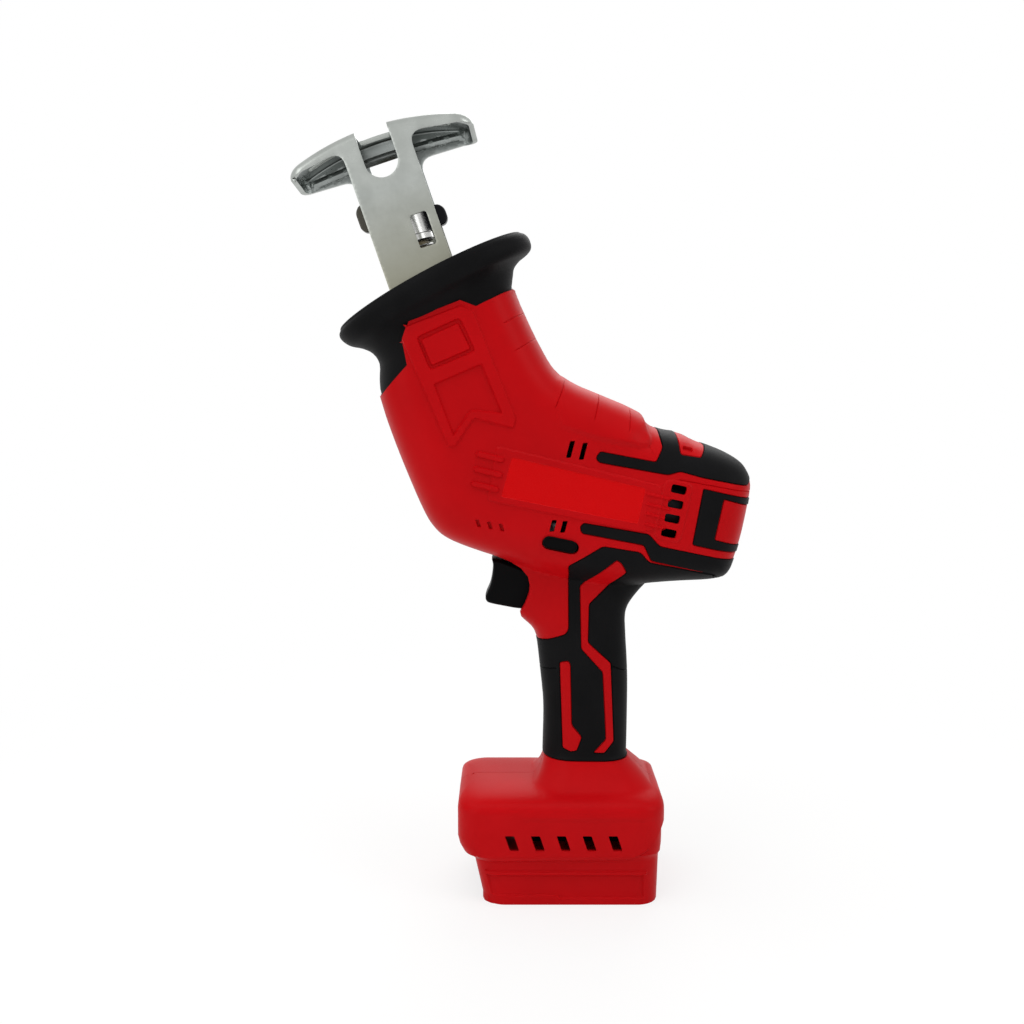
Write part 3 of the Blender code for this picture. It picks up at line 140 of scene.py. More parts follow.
# ---------------- plane geometry
def unit(vectors: Array) -> Array:
    """Rows of vectors, each at length one."""
    return vectors / np.maximum(np.linalg.norm(vectors, axis=1, keepdims=True), TINY)


def smoothed(points: Outline, rounds: int = 2, closed: bool = True) -> Array:
    """Rounds the corners of a line by cutting them.

    Args:
        points: Corners of the line.
        rounds: How often each corner is cut.
        closed: Whether the last point joins the first.

    Returns:
        The rounded line.
    """
    line = np.asarray(points, float)
    for _ in range(rounds):
        ahead = np.roll(line, -1, axis=0)
        near, far = line * 0.75 + ahead * 0.25, line * 0.25 + ahead * 0.75
        if closed:
            line = np.stack((near, far), axis=1).reshape(-1, line.shape[1])
        else:
            inner = np.stack((near[:-1], far[:-1]), axis=1).reshape(-1, line.shape[1])
            line = np.vstack((line[:1], inner, line[-1:]))
    return line


def filleted(points: Outline, radius: float, closed: bool = True, steps: int = 4) -> Array:
    """Rounds each corner of a line with an arc-like curve of about one radius.

    Args:
        points: Corners of the line.
        radius: Radius in mm; short sides get a smaller one.
        closed: Whether the last point joins the first.
        steps: Pieces of each curve.

    Returns:
        The filleted line.
    """
    corners = np.asarray(points, float)
    result = []
    for i, corner in enumerate(corners):
        if not closed and i in (0, len(corners) - 1):
            result.append(corner)
            continue
        before, after = corners[i - 1] - corner, corners[(i + 1) % len(corners)] - corner
        reach = min(radius, 0.45 * np.linalg.norm(before), 0.45 * np.linalg.norm(after))
        start = corner + before / np.linalg.norm(before) * reach
        end = corner + after / np.linalg.norm(after) * reach
        for t in (k / steps for k in range(steps + 1)):
            result.append(start * (1 - t) ** 2 + corner * 2 * t * (1 - t) + end * t**2)
    return np.asarray(result)


def resampled(line: Outline, step: float, closed: bool = True) -> Array:
    """Adds points to a line so that no piece is longer than a step, and keeps its corners.

    Args:
        line: Points of the line.
        step: Longest piece, mm.
        closed: Whether the last point joins the first.

    Returns:
        The finer line.
    """
    points = np.asarray(line, float)
    ahead = np.roll(points, -1, axis=0) if closed else points[1:]
    result = []
    for start, end in zip(points, ahead):
        pieces = max(1, math.ceil(np.linalg.norm(end - start) / step))
        result.extend(start + (end - start) * k / pieces for k in range(pieces))
    if not closed:
        result.append(points[-1])
    return np.asarray(result)


def offset_line(line: Array, distance: float, closed: bool = True) -> Array:
    """Moves a line to its left, with mitred corners.

    Args:
        line: Points of the line.
        distance: How far, in mm.
        closed: Whether the last point joins the first.

    Returns:
        The moved line.
    """
    sharpest = 0.4  # a sharper corner's mitre is cut short
    before = line - np.roll(line, 1, axis=0)
    after = np.roll(line, -1, axis=0) - line
    if not closed:
        before[0], after[-1] = after[0], before[-1]
    before, after = unit(before), unit(after)
    normal = unit(np.stack((-(before[:, 1] + after[:, 1]), before[:, 0] + after[:, 0]), axis=1))
    stretch = np.sum(normal * np.stack((-after[:, 1], after[:, 0]), axis=1), axis=1)
    return line + normal * (distance / np.maximum(stretch, sharpest))[:, None]


def line_distance(points: Array, line: Array, closed: bool = True) -> Array:
    """Distance of each point from a line.

    Args:
        points: Rows of points.
        line: Points of the line.
        closed: Whether the line's last point joins its first.

    Returns:
        The distances.
    """
    starts, ends = (line, np.roll(line, -1, axis=0)) if closed else (line[:-1], line[1:])
    nearest = np.full(len(points), np.inf)
    for start, end in zip(starts, ends):
        along = end - start
        share = np.clip((points - start) @ along / max(along @ along, 1e-12), 0.0, 1.0)
        gap = points - start - share[:, None] * along
        nearest = np.minimum(nearest, np.einsum("ij,ij->i", gap, gap))
    return np.sqrt(nearest)


def signed_area(outline: Array) -> float:
    """Area inside a closed outline, below zero where it runs clockwise."""
    ahead = np.roll(outline, -1, axis=0)
    return 0.5 * float(np.sum(outline[:, 0] * ahead[:, 1] - ahead[:, 0] * outline[:, 1]))


def within(points: Array, outline: Array) -> Array:
    """Tells which points lie inside a closed outline.

    Args:
        points: Rows of points.
        outline: Points of the outline.

    Returns:
        True for each point inside.
    """
    x, z = points[:, 0], points[:, 1]
    result = np.zeros(len(points), bool)
    for (x0, z0), (x1, z1) in zip(np.roll(outline, 1, axis=0), outline):
        if z0 != z1:
            result ^= ((z1 > z) != (z0 > z)) & (x < (x0 - x1) * (z - z1) / (z0 - z1) + x1)
    return result


def soft_maximum(first: Array, second: Array, fillet: float) -> Array:
    """The larger of two heights, blended where they are within a fillet of each other."""
    share = np.clip(0.5 + 0.5 * (first - second) / fillet, 0.0, 1.0)
    return second * (1 - share) + first * share + fillet * share * (1 - share)


def swung(x: float, z: float, turn: float, centre: Point2) -> Point2:
    """A point turned about the origin by an angle in radians, then moved to a centre."""
    return (centre[0] + x * math.cos(turn) - z * math.sin(turn), centre[1] + x * math.sin(turn) + z * math.cos(turn))


def stadium(centre: Point2, half_length: float, half_width: float, angle: float = 0.0, steps: int = 5) -> list[Point2]:
    """A slot outline with round ends.

    Args:
        centre: Its middle.
        half_length: Half its length with the ends, mm.
        half_width: Radius of the ends, mm.
        angle: Slope of its length, degrees.
        steps: Pieces of each end.

    Returns:
        The outline.
    """
    reach = half_length - half_width
    outline = []
    for end, start in ((reach, -90.0), (-reach, 90.0)):
        for a in (math.radians(start + 180.0 * k / steps) for k in range(steps + 1)):
            outline.append(swung(end + half_width * math.cos(a), half_width * math.sin(a), math.radians(angle), centre))
    return outline


def slanted_box(centre: Point2, width: float, height: float, lean: float) -> list[Point2]:
    """An upright slot outline whose top is shifted by a lean.

    Args:
        centre: Its middle.
        width: Width in mm.
        height: Height in mm.
        lean: How far the top lies behind the foot, mm.

    Returns:
        The outline.
    """
    x, z = centre
    w, h, s = width / 2, height / 2, lean / 2
    return [(x - w - s, z - h), (x + w - s, z - h), (x + w + s, z + h), (x - w + s, z + h)]


def search_tree(points: Sequence[Sequence[float]]) -> KDTree:
    """A search tree of flat points.

    Args:
        points: Rows of two numbers.

    Returns:
        The balanced tree.
    """
    tree = KDTree(len(points))
    for i, point in enumerate(points):
        tree.insert((*point, 0.0), i)
    tree.balance()
    return tree


def triangulated(outline: Array, lines: Iterable[Line], spacing: float, clearance: float,
                 margin: float = 0.0) -> tuple[Array, Array, Array]:
    """Meshes a flat outline so that its lines become edges.

    Args:
        outline: The closed outline.
        lines: Lines that become edges too.
        spacing: Distance of the free points between them, mm.
        clearance: Least distance of a free point from a line's points, mm.
        margin: Least distance of a free point from the outline, mm.

    Returns:
        Points, triangles, and the triangles' centres; some lie outside the outline.
    """
    bound = [(outline, True), *lines]
    fixed = np.vstack([line for line, _ in bound])
    edges, start = [], 0
    for line, closed in bound:
        count = len(line)
        edges += [(start + i, start + (i + 1) % count) for i in range(count if closed else count - 1)]
        start += count
    low, high = outline.min(axis=0), outline.max(axis=0)
    grid = []
    for k, z in enumerate(np.arange(low[1], high[1], spacing * ROW_PITCH)):
        xs = np.arange(low[0] + (k % 2) * spacing / 2, high[0], spacing)
        grid.append(np.stack((xs, np.full(len(xs), z)), axis=1))
    grid = np.vstack(grid)
    grid = grid[within(grid, outline)]
    if margin:
        grid = grid[line_distance(grid, outline) > margin]
    near = search_tree(fixed)
    grid = [point for point in grid if near.find((*point, 0.0))[2] > clearance]
    merge_mm = 1e-4
    result = delaunay_2d_cdt([Vector(point) for point in (*fixed, *grid)], edges, [], 0, merge_mm, False)
    points = np.array([tuple(vert) for vert in result[0]])
    faces = np.array([tuple(face) for face in result[2]])
    return points, faces, points[faces].mean(axis=1)


# ---------------- colours and nodes
def linear(hex_colour: str) -> tuple[float, float, float, float]:
    """Linear colour of an sRGB hex value.

    Args:
        hex_colour: The value, such as #B9070E.

    Returns:
        Linear red, green, blue, and full opacity.
    """
    values = [int(hex_colour[i:i + 2], 16) / 255.0 for i in (1, 3, 5)]
    low, power, scale, lift = 0.04045, 2.4, 1.055, 0.055
    return (*(v / 12.92 if v <= low else ((v + lift) / scale) ** power for v in values), 1.0)


def add_node(tree: Tree, kind: str, settings: dict | None = None, links: dict | None = None) -> Node:
    """Adds a node to a tree.

    Args:
        tree: Shader or geometry tree.
        kind: The node's type name.
        settings: Values by property name, or by input name or number.
        links: Source sockets by input name or number.

    Returns:
        The new node.
    """
    node = tree.nodes.new(kind)
    for name, value in (settings or {}).items():
        if isinstance(name, str) and hasattr(node, name):
            setattr(node, name, value)
        else:
            node.inputs[name].default_value = value
    for name, source in (links or {}).items():
        tree.links.new(source, node.inputs[name])
    return node


def to_range(low: float, high: float, start: float = 0.3, end: float = 0.7) -> dict[str, float]:
    """Settings that map a pattern, from a start to an end, to a range."""
    return {"From Min": start, "From Max": end, "To Min": low, "To Max": high}


EVEN = to_range(0.0, 1.0)


def grain(tree: Tree, place: Socket, size_mm: float, detail: float = 2.0,
          stretch: Sequence[float] = (1.0, 1.0, 1.0)) -> Socket:
    """Noise whose grains are about a size across.

    Args:
        tree: Shader tree.
        place: Object coordinates.
        size_mm: Grain size in mm.
        detail: Octaves of the noise.
        stretch: How much longer a grain is along each axis.

    Returns:
        The noise's value socket.
    """
    scale = tuple(1.0 / s for s in stretch)
    mapping = add_node(tree, "ShaderNodeMapping", {"Scale": scale}, {"Vector": place})
    noise = add_node(tree, "ShaderNodeTexNoise", {"Scale": 1.0 / (size_mm * MM), "Detail": detail, "Roughness": 0.55},
                     {"Vector": mapping.outputs["Vector"]})
    return noise.outputs[0]


def blended(tree: Tree, pattern: Socket, first: str | Socket, second: str, window: dict[str, float] = EVEN) -> Socket:
    """Turns from one colour to another by a pattern.

    Args:
        tree: Shader tree.
        pattern: The pattern's value socket.
        first: Hex value or socket of the first colour.
        second: Hex value of the second colour.
        window: Maps the pattern to the second colour's share.

    Returns:
        The colour socket.
    """
    share = add_node(tree, "ShaderNodeMapRange", window, {"Value": pattern})
    node = add_node(tree, "ShaderNodeMix", {"data_type": "RGBA"}, {"Factor": share.outputs["Result"]})
    for socket, colour in zip([s for s in node.inputs if s.type == "RGBA"], (first, second)):
        if isinstance(colour, str):
            socket.default_value = linear(colour)
        else:
            tree.links.new(colour, socket)
    return next(s for s in node.outputs if s.type == "RGBA")


def edge_wear(tree: Tree, radius_mm: float) -> Socket:
    """Finds convex edges.

    Args:
        tree: Shader tree.
        radius_mm: How far the wear reaches from an edge.

    Returns:
        A socket that is 1 on edges and 0 on flat faces.
    """
    bevel = add_node(tree, "ShaderNodeBevel", {"samples": 4, "Radius": radius_mm * MM})
    geometry = add_node(tree, "ShaderNodeNewGeometry")
    dot = add_node(tree, "ShaderNodeVectorMath", {"operation": "DOT_PRODUCT"},
                   {0: bevel.outputs["Normal"], 1: geometry.outputs["Normal"]})
    worn = add_node(tree, "ShaderNodeMapRange", to_range(1.0, 0.0, 0.9, 0.995), {"Value": dot.outputs["Value"]})
    return worn.outputs["Result"]


def dress(tree: Tree, shader: Node, colour: Socket, pattern: Socket, roughness: dict[str, float],
          layers: Iterable[tuple[Socket, float, float]], metallic: float = 0.0) -> None:
    """Links colour, shine and relief to a surface shader.

    Args:
        tree: Shader tree.
        shader: The surface shader.
        colour: Colour socket.
        pattern: Pattern that the roughness follows.
        roughness: Maps the pattern to roughness.
        layers: Relief as (pattern, height in mm, strength), stacked.
        metallic: 1 for bare metal.
    """
    rough = add_node(tree, "ShaderNodeMapRange", roughness, {"Value": pattern})
    normal = {}
    for relief, height_mm, strength in layers:
        bump = add_node(tree, "ShaderNodeBump", {"Strength": strength, "Distance": height_mm * MM},
                        {"Height": relief, **normal})
        normal = {"Normal": bump.outputs["Normal"]}
    for name, source in {"Base Color": colour, "Roughness": rough.outputs["Result"], **normal}.items():
        tree.links.new(source, shader.inputs[name])
    shader.inputs["Metallic"].default_value = metallic


class Finish:
    """A surface finish. Subclasses wire their own colour, shine and relief."""

    name: str
    _made: dict[str, bpy.types.Material] = {}

    def material(self) -> bpy.types.Material:
        """Makes the material of this finish once.

        Returns:
            The material.
        """
        if self.name not in Finish._made:
            material = bpy.data.materials.new(self.name)
            material.use_nodes = True
            tree = material.node_tree
            place = tree.nodes.new("ShaderNodeTexCoord").outputs["Object"]
            self.wire(tree, tree.nodes["Principled BSDF"], place)
            Finish._made[self.name] = material
        return Finish._made[self.name]

    def wire(self, tree: Tree, shader: Node, place: Socket) -> None:
        """Adds the finish's nodes.

        Args:
            tree: The material's tree.
            shader: Its surface shader.
            place: Object coordinates.
        """
        raise NotImplementedError


@dataclass(frozen=True)
class MouldedPlastic(Finish):
    """Injection-moulded nylon from a spark-eroded mould: a satin skin with a fine, even grain."""

    name: str
    colour: str
    shade: str
    roughness: float = 0.4
    grain_mm: float = 0.45  # real grain is near 0.1 mm; drawn coarser so that it shows
    grain_height_mm: float = 0.012
    shine: float = 0.06  # glass fibre at the skin scatters, so it mirrors less than clear nylon

    def wire(self, tree: Tree, shader: Node, place: Socket) -> None:
        """Adds an even colour with slow flow marks, and a fine grain in relief and roughness.

        Args:
            tree: The material's tree.
            shader: Its surface shader.
            place: Object coordinates.
        """
        colour = blended(tree, grain(tree, place, 45.0, 3.0), self.colour, self.shade)
        fine = grain(tree, place, self.grain_mm, 3.0)
        dress(tree, shader, colour, fine, to_range(self.roughness - 0.04, self.roughness + 0.06),
              ((fine, self.grain_height_mm, 0.5), (grain(tree, place, 9.0), 0.02, 0.25)))
        shader.inputs["Specular IOR Level"].default_value = self.shine


@dataclass(frozen=True)
class SoftRubber(Finish):
    """Thermoplastic elastomer or silicone: dull and even, with a soft bloom and a pebbled skin."""

    name: str
    colour: str
    dust: str
    roughness: float = 0.5
    grain_mm: float = 0.6  # real grain is near 0.2 mm; drawn coarser so that it shows
    shine: float = 0.05

    def wire(self, tree: Tree, shader: Node, place: Socket) -> None:
        """Adds a plain colour with a faint bloom, and a pebbled relief.

        Args:
            tree: The material's tree.
            shader: Its surface shader.
            place: Object coordinates.
        """
        colour = blended(tree, grain(tree, place, 22.0, 4.0), self.colour, self.dust, to_range(0.0, 0.6, 0.35, 0.8))
        fine = grain(tree, place, self.grain_mm, 2.0)
        dress(tree, shader, colour, fine, to_range(self.roughness - 0.05, self.roughness + 0.08), ((fine, 0.02, 0.5),))
        shader.inputs["Specular IOR Level"].default_value = self.shine


@dataclass(frozen=True)
class RolledSteel(Finish):
    """Zinc-plated sheet steel: a grey-green film over rolling lines; towards the root a painted shade makes it darker
    and warmer.
    """

    name: str
    colour: str
    shade: str
    root_shade: str
    root_shade_reach: Point2 = (92.0, 146.0)  # the painted shade is full at the first height, gone at the second, mm
    roughness: float = 0.3
    line_mm: float = 0.25  # rolling lines, drawn about twice as coarse as real ones
    direction: Point3 = (30.0, 1.0, 1.0)

    def wire(self, tree: Tree, shader: Node, place: Socket) -> None:
        """Adds fine lines along the sheet, cloudy plating, a painted shade towards the root, and scuffs in the
        roughness.

        Args:
            tree: The material's tree.
            shader: Its surface shader.
            place: Object coordinates.
        """
        clouds = grain(tree, place, 14.0, 4.0)
        plating = blended(tree, clouds, self.colour, self.shade)
        # painted shade: along the blade axis the colour turns darker and warmer towards the root
        height = add_node(tree, "ShaderNodeVectorMath", {"operation": "DOT_PRODUCT", 1: tuple(SAW.blade)}, {0: place})
        start, end = (SAW.on_blade(0.0, 0.0, b).dot(SAW.blade) for b in self.root_shade_reach)
        colour = blended(tree, height.outputs["Value"], plating, self.root_shade, to_range(1.0, 0.0, start, end))
        lines = grain(tree, place, self.line_mm, 3.0, self.direction)
        scuffs = add_node(tree, "ShaderNodeMapRange", to_range(0.0, 0.4), {"Value": clouds})
        mixed = add_node(tree, "ShaderNodeMath", {"operation": "MULTIPLY_ADD", 1: 0.6},
                         {0: lines, 2: scuffs.outputs["Result"]})
        dress(tree, shader, colour, mixed.outputs[0], to_range(self.roughness - 0.07, self.roughness + 0.12, 0.2, 0.8),
              ((lines, 0.006, 0.3), (grain(tree, place, 1.5, 3.0), 0.008, 0.25)), metallic=1.0)


@dataclass(frozen=True)
class TreatedSteel(Finish):
    """Phosphated or blackened and oiled steel: a dark film that wears bright on its edges."""

    name: str
    colour: str
    bare: str
    metallic: float = 0.85
    roughness: float = 0.38

    def wire(self, tree: Tree, shader: Node, place: Socket) -> None:
        """Adds a dark film, worn edges, and fine crystals in the relief.

        Args:
            tree: The material's tree.
            shader: Its surface shader.
            place: Object coordinates.
        """
        crystals = grain(tree, place, 0.5, 3.0)
        rubbed = add_node(tree, "ShaderNodeMapRange", to_range(0.0, 0.8), {"Value": grain(tree, place, 2.5, 4.0)})
        worn = add_node(tree, "ShaderNodeMath", {"operation": "MULTIPLY"},
                        {0: edge_wear(tree, 0.5), 1: rubbed.outputs["Result"]})
        colour = blended(tree, worn.outputs[0], self.colour, self.bare, to_range(0.0, 1.0, 0.0, 1.0))
        dress(tree, shader, colour, crystals, to_range(self.roughness - 0.06, self.roughness + 0.1),
              ((crystals, 0.01, 0.4),), self.metallic)


@dataclass(frozen=True)
class GrainedFinish(Finish):
    """Bare metal or pressed powder: colour, shine and relief follow one grain, or the colour has marks of its own."""

    name: str
    colour: str
    shade: str
    size_mm: float
    detail: float
    roughness: Point2
    relief: Point2  # height in mm, strength
    stretch: Point3 = (1.0, 1.0, 1.0)
    marks: Point2 | None = None  # size in mm and detail
    share: dict[str, float] = field(default_factory=EVEN.copy)
    metallic: float = 1.0

    def wire(self, tree: Tree, shader: Node, place: Socket) -> None:
        """Adds the grain, and the marks where there are any.

        Args:
            tree: The material's tree.
            shader: Its surface shader.
            place: Object coordinates.
        """
        fine = grain(tree, place, self.size_mm, self.detail, self.stretch)
        marks = grain(tree, place, *self.marks) if self.marks else fine
        dress(tree, shader, blended(tree, marks, self.colour, self.shade, self.share), fine,
              to_range(*self.roughness), ((fine, *self.relief),), self.metallic)


# body: deep red with a satin skin; the plate's field comes from a polished part of the mould and mirrors more
RED_NYLON = MouldedPlastic("glass_filled_nylon_red", "#B9070E", "#AE060C")
POLISHED_RED = MouldedPlastic("nylon_red_from_a_polished_mould", "#CA0509", "#C50508", roughness=0.26)
# grips, bands and boot: nearly black and dull; the controls are harder, blacker and a little shinier
BLACK_RUBBER = SoftRubber("thermoplastic_elastomer_black", "#0C0C0D", "#171718")
BLACK_NYLON = MouldedPlastic("nylon_black", "#060606", "#0A0A0B", roughness=0.36, shine=0.04)
# shoe: pale grey film outside; inside a darker one, which is painted shade under the tray
# each shoe finish's last colour is painted shade towards the root
SHOE_STEEL = RolledSteel("zinc_plated_sheet_steel", "#B3B7B3", "#9DA19D", "#8C8A78")
SHOE_INSIDE_PAINTED_SHADE = RolledSteel("zinc_plated_steel_inside", "#9DA2A0", "#8B908E", "#7C7A6A", roughness=0.28)
# ground steel is bright with fine tool marks round it and light handling marks
BRIGHT_STEEL = GrainedFinish("ground_steel", "#C4C4C2", "#AFAFAD", 0.3, 2.0, (0.21, 0.36), (0.006, 0.3),
                             stretch=(1.0, 8.0, 1.0), marks=(3.0, 5.0))
# phosphate shows brown or grey, oxide black; each wears to pale steel on its edges
BRONZED_STEEL = TreatedSteel("phosphated_steel_brown", "#57503F", "#A49D8C")
OILED_STEEL = TreatedSteel("phosphated_steel_grey", "#4B4942", "#8E8B82")
BLACKENED_STEEL = TreatedSteel("oxide_black_steel", "#17171A", "#5A5A5C")
# die casting leaves a matt, cloudy grey skin with a shallow orange peel; the grey is drawn darker than bare casting,
# which is painted shade inside the shells
CAST_ALUMINIUM_PAINTED_SHADE = GrainedFinish("die_cast_aluminium", "#77797B", "#646668", 1.2, 4.0, (0.42, 0.6), (0.04, 0.4))
# enamel warms the copper, and its turns show as fine ridges
COPPER = GrainedFinish("enamelled_copper", "#C98A5E", "#A66741", 0.5, 2.0, (0.28, 0.42), (0.05, 0.5),
                       stretch=(6.0, 1.0, 1.0))
# pressed powder is a soft black with tiny bright grains
CARBON = GrainedFinish("pressed_carbon", "#1B1B1B", "#4A4A48", 0.4, 4.0, (0.65, 0.5), (0.02, 0.4),
                       share=to_range(0.0, 1.0, 0.55, 0.75), metallic=0.0)
# silicone insulation is dull and a little powdery
RED_LEAD = SoftRubber("silicone_lead_red", "#9E1216", "#86100F", roughness=0.42)
BLACK_LEAD = SoftRubber("silicone_lead_black", "#161616", "#1F1F1F", roughness=0.42)
SLOT_FINISHES = {
    "red_nylon": RED_NYLON, "black_rubber": BLACK_RUBBER, "black_nylon": BLACK_NYLON, "shoe_steel": SHOE_STEEL,
    "bright_steel": BRIGHT_STEEL, "bronzed_steel": BRONZED_STEEL, "cast_aluminium": CAST_ALUMINIUM_PAINTED_SHADE,
    "copper": COPPER, "carbon": CARBON, "red_lead": RED_LEAD, "black_lead": BLACK_LEAD,
}
PAINTED_SHADE_FINISHES = {"motor_can": BLACKENED_STEEL}  # its steel tube gets the oxide black finish instead of ground steel, which is painted shade inside the shells


# ---------------- meshes
def add_object(name: str, data: bpy.types.ID) -> Piece:
    """Puts a mesh, a lamp or a camera into the scene as an object at the origin.

    Args:
        name: Object name.
        data: What it shows.

    Returns:
        The object.
    """
    piece = bpy.data.objects.new(name, data)
    bpy.context.scene.collection.objects.link(piece)
    return piece


def make_piece(name: str, vertices: Sequence, faces: Sequence, finish: Finish, sharp_angle: float = 32.0) -> Piece:
    """A shaded object from world points in metres.

    Args:
        name: Piece name.
        vertices: World points.
        faces: Rows of vertex numbers.
        finish: Its surface finish.
        sharp_angle: Edges bent more than this many degrees stay sharp.

    Returns:
        The object, linked to the scene.
    """
    mesh = bpy.data.meshes.new(name)
    mesh.from_pydata([tuple(v) for v in vertices], [], [tuple(int(i) for i in face) for face in faces])
    mesh.update()
    mesh.materials.append(finish.material())
    piece = add_object(name, mesh)
    shade(piece, sharp_angle)
    return piece


def shade(piece: Piece, sharp_angle: float) -> None:
    """Shades a piece smooth, apart from edges bent more than an angle in degrees."""
    piece.data.shade_smooth()
    piece.data.set_sharp_from_angle(angle=math.radians(sharp_angle))


def clean(piece: Piece, distance_mm: float = 0.01, outward: bool = True) -> None:
    """Merges doubled points and drops stray ones.

    Args:
        piece: The piece.
        distance_mm: Points closer than this are merged.
        outward: Whether faces are turned outwards as well.
    """
    bm = bmesh.new()
    bm.from_mesh(piece.data)
    bmesh.ops.remove_doubles(bm, verts=bm.verts, dist=distance_mm * MM)
    bmesh.ops.dissolve_degenerate(bm, edges=bm.edges, dist=0.001 * MM)
    loose = [vert for vert in bm.verts if not vert.link_faces]
    bmesh.ops.delete(bm, geom=loose, context="VERTS")
    if outward:
        bmesh.ops.recalc_face_normals(bm, faces=bm.faces)
    bm.to_mesh(piece.data)
    bm.free()


def add_wall(piece: Piece, thickness_mm: float, inside: Finish | None = None) -> None:
    """Gives an open skin its wall inwards.

    Args:
        piece: The skin.
        thickness_mm: Thickness of the wall.
        inside: Finish of the wall's inner side, where it differs.
    """
    solid = piece.modifiers.new("wall", "SOLIDIFY")
    solid.thickness, solid.offset = thickness_mm * MM, -1.0
    solid.use_even_offset, solid.use_rim = False, True
    if inside:
        piece.data.materials.append(inside.material())
        solid.material_offset = 1


def add_bevel(piece: Piece, width_mm: float, segments: int, angle: float) -> None:
    """Rounds the edges of a piece.

    Args:
        piece: The piece.
        width_mm: Width of the rounding.
        segments: Pieces of the rounding.
        angle: Edges bent less than this many degrees are left.
    """
    bevel = piece.modifiers.new("edges", "BEVEL")
    bevel.width, bevel.segments = width_mm * MM, segments
    bevel.limit_method, bevel.angle_limit = "ANGLE", math.radians(angle)
    bevel.harden_normals = False


def apply_modifiers(piece: Piece, sharp_angle: float = 32.0) -> None:
    """Turns a piece and its modifiers into a plain mesh.

    Args:
        piece: The piece.
        sharp_angle: Edges bent more than this many degrees stay sharp.
    """
    bpy.context.view_layer.update()
    evaluated = piece.evaluated_get(bpy.context.evaluated_depsgraph_get())
    mesh = bpy.data.meshes.new_from_object(evaluated)
    piece.modifiers.clear()
    piece.data = mesh
    shade(piece, sharp_angle)


def lofted(name: str, rings: Sequence[Sequence], finish: Finish, looped: bool = False, sharp_angle: float = 32.0,
           merge_mm: float = 0.001) -> Piece:
    """A closed solid through rings of equal count.

    Args:
        name: Piece name.
        rings: World points, ring by ring.
        finish: Its surface finish.
        looped: Whether the last ring joins the first; otherwise both ends are capped.
        sharp_angle: Edges bent more than this many degrees stay sharp.
        merge_mm: Points closer than this are merged.

    Returns:
        The piece.
    """
    count, total = len(rings[0]), len(rings) * len(rings[0])
    faces = []
    for start in range(0, total if looped else total - count, count):
        after = (start + count) % total
        faces += [(start + i, start + (i + 1) % count, after + (i + 1) % count, after + i) for i in range(count)]
    if not looped:
        faces += [tuple(range(count)), tuple(range(total - count, total))]
    piece = make_piece(name, [point for ring in rings for point in ring], faces, finish, sharp_angle)
    clean(piece, merge_mm)
    return piece


def drawn_in(outline: Array, inset: float) -> Array:
    """An outline whose points are moved towards its middle by an inset in mm."""
    return outline - unit(outline - outline.mean(axis=0)) * inset


def settle(piece: Piece, body: str, slot: str, *nodes: str) -> None:
    """Joins a finished piece to the frame.

    Args:
        piece: The piece.
        body: Body that it rides on.
        slot: The record's slot for its finish; not used.
        nodes: CAD nodes that it stands for.
    """
    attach(piece, body)
    if nodes:
        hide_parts(*nodes)
    LOG.info("%-24s rides on %-14s for %s", piece.name, body, ", ".join(nodes) or "-")


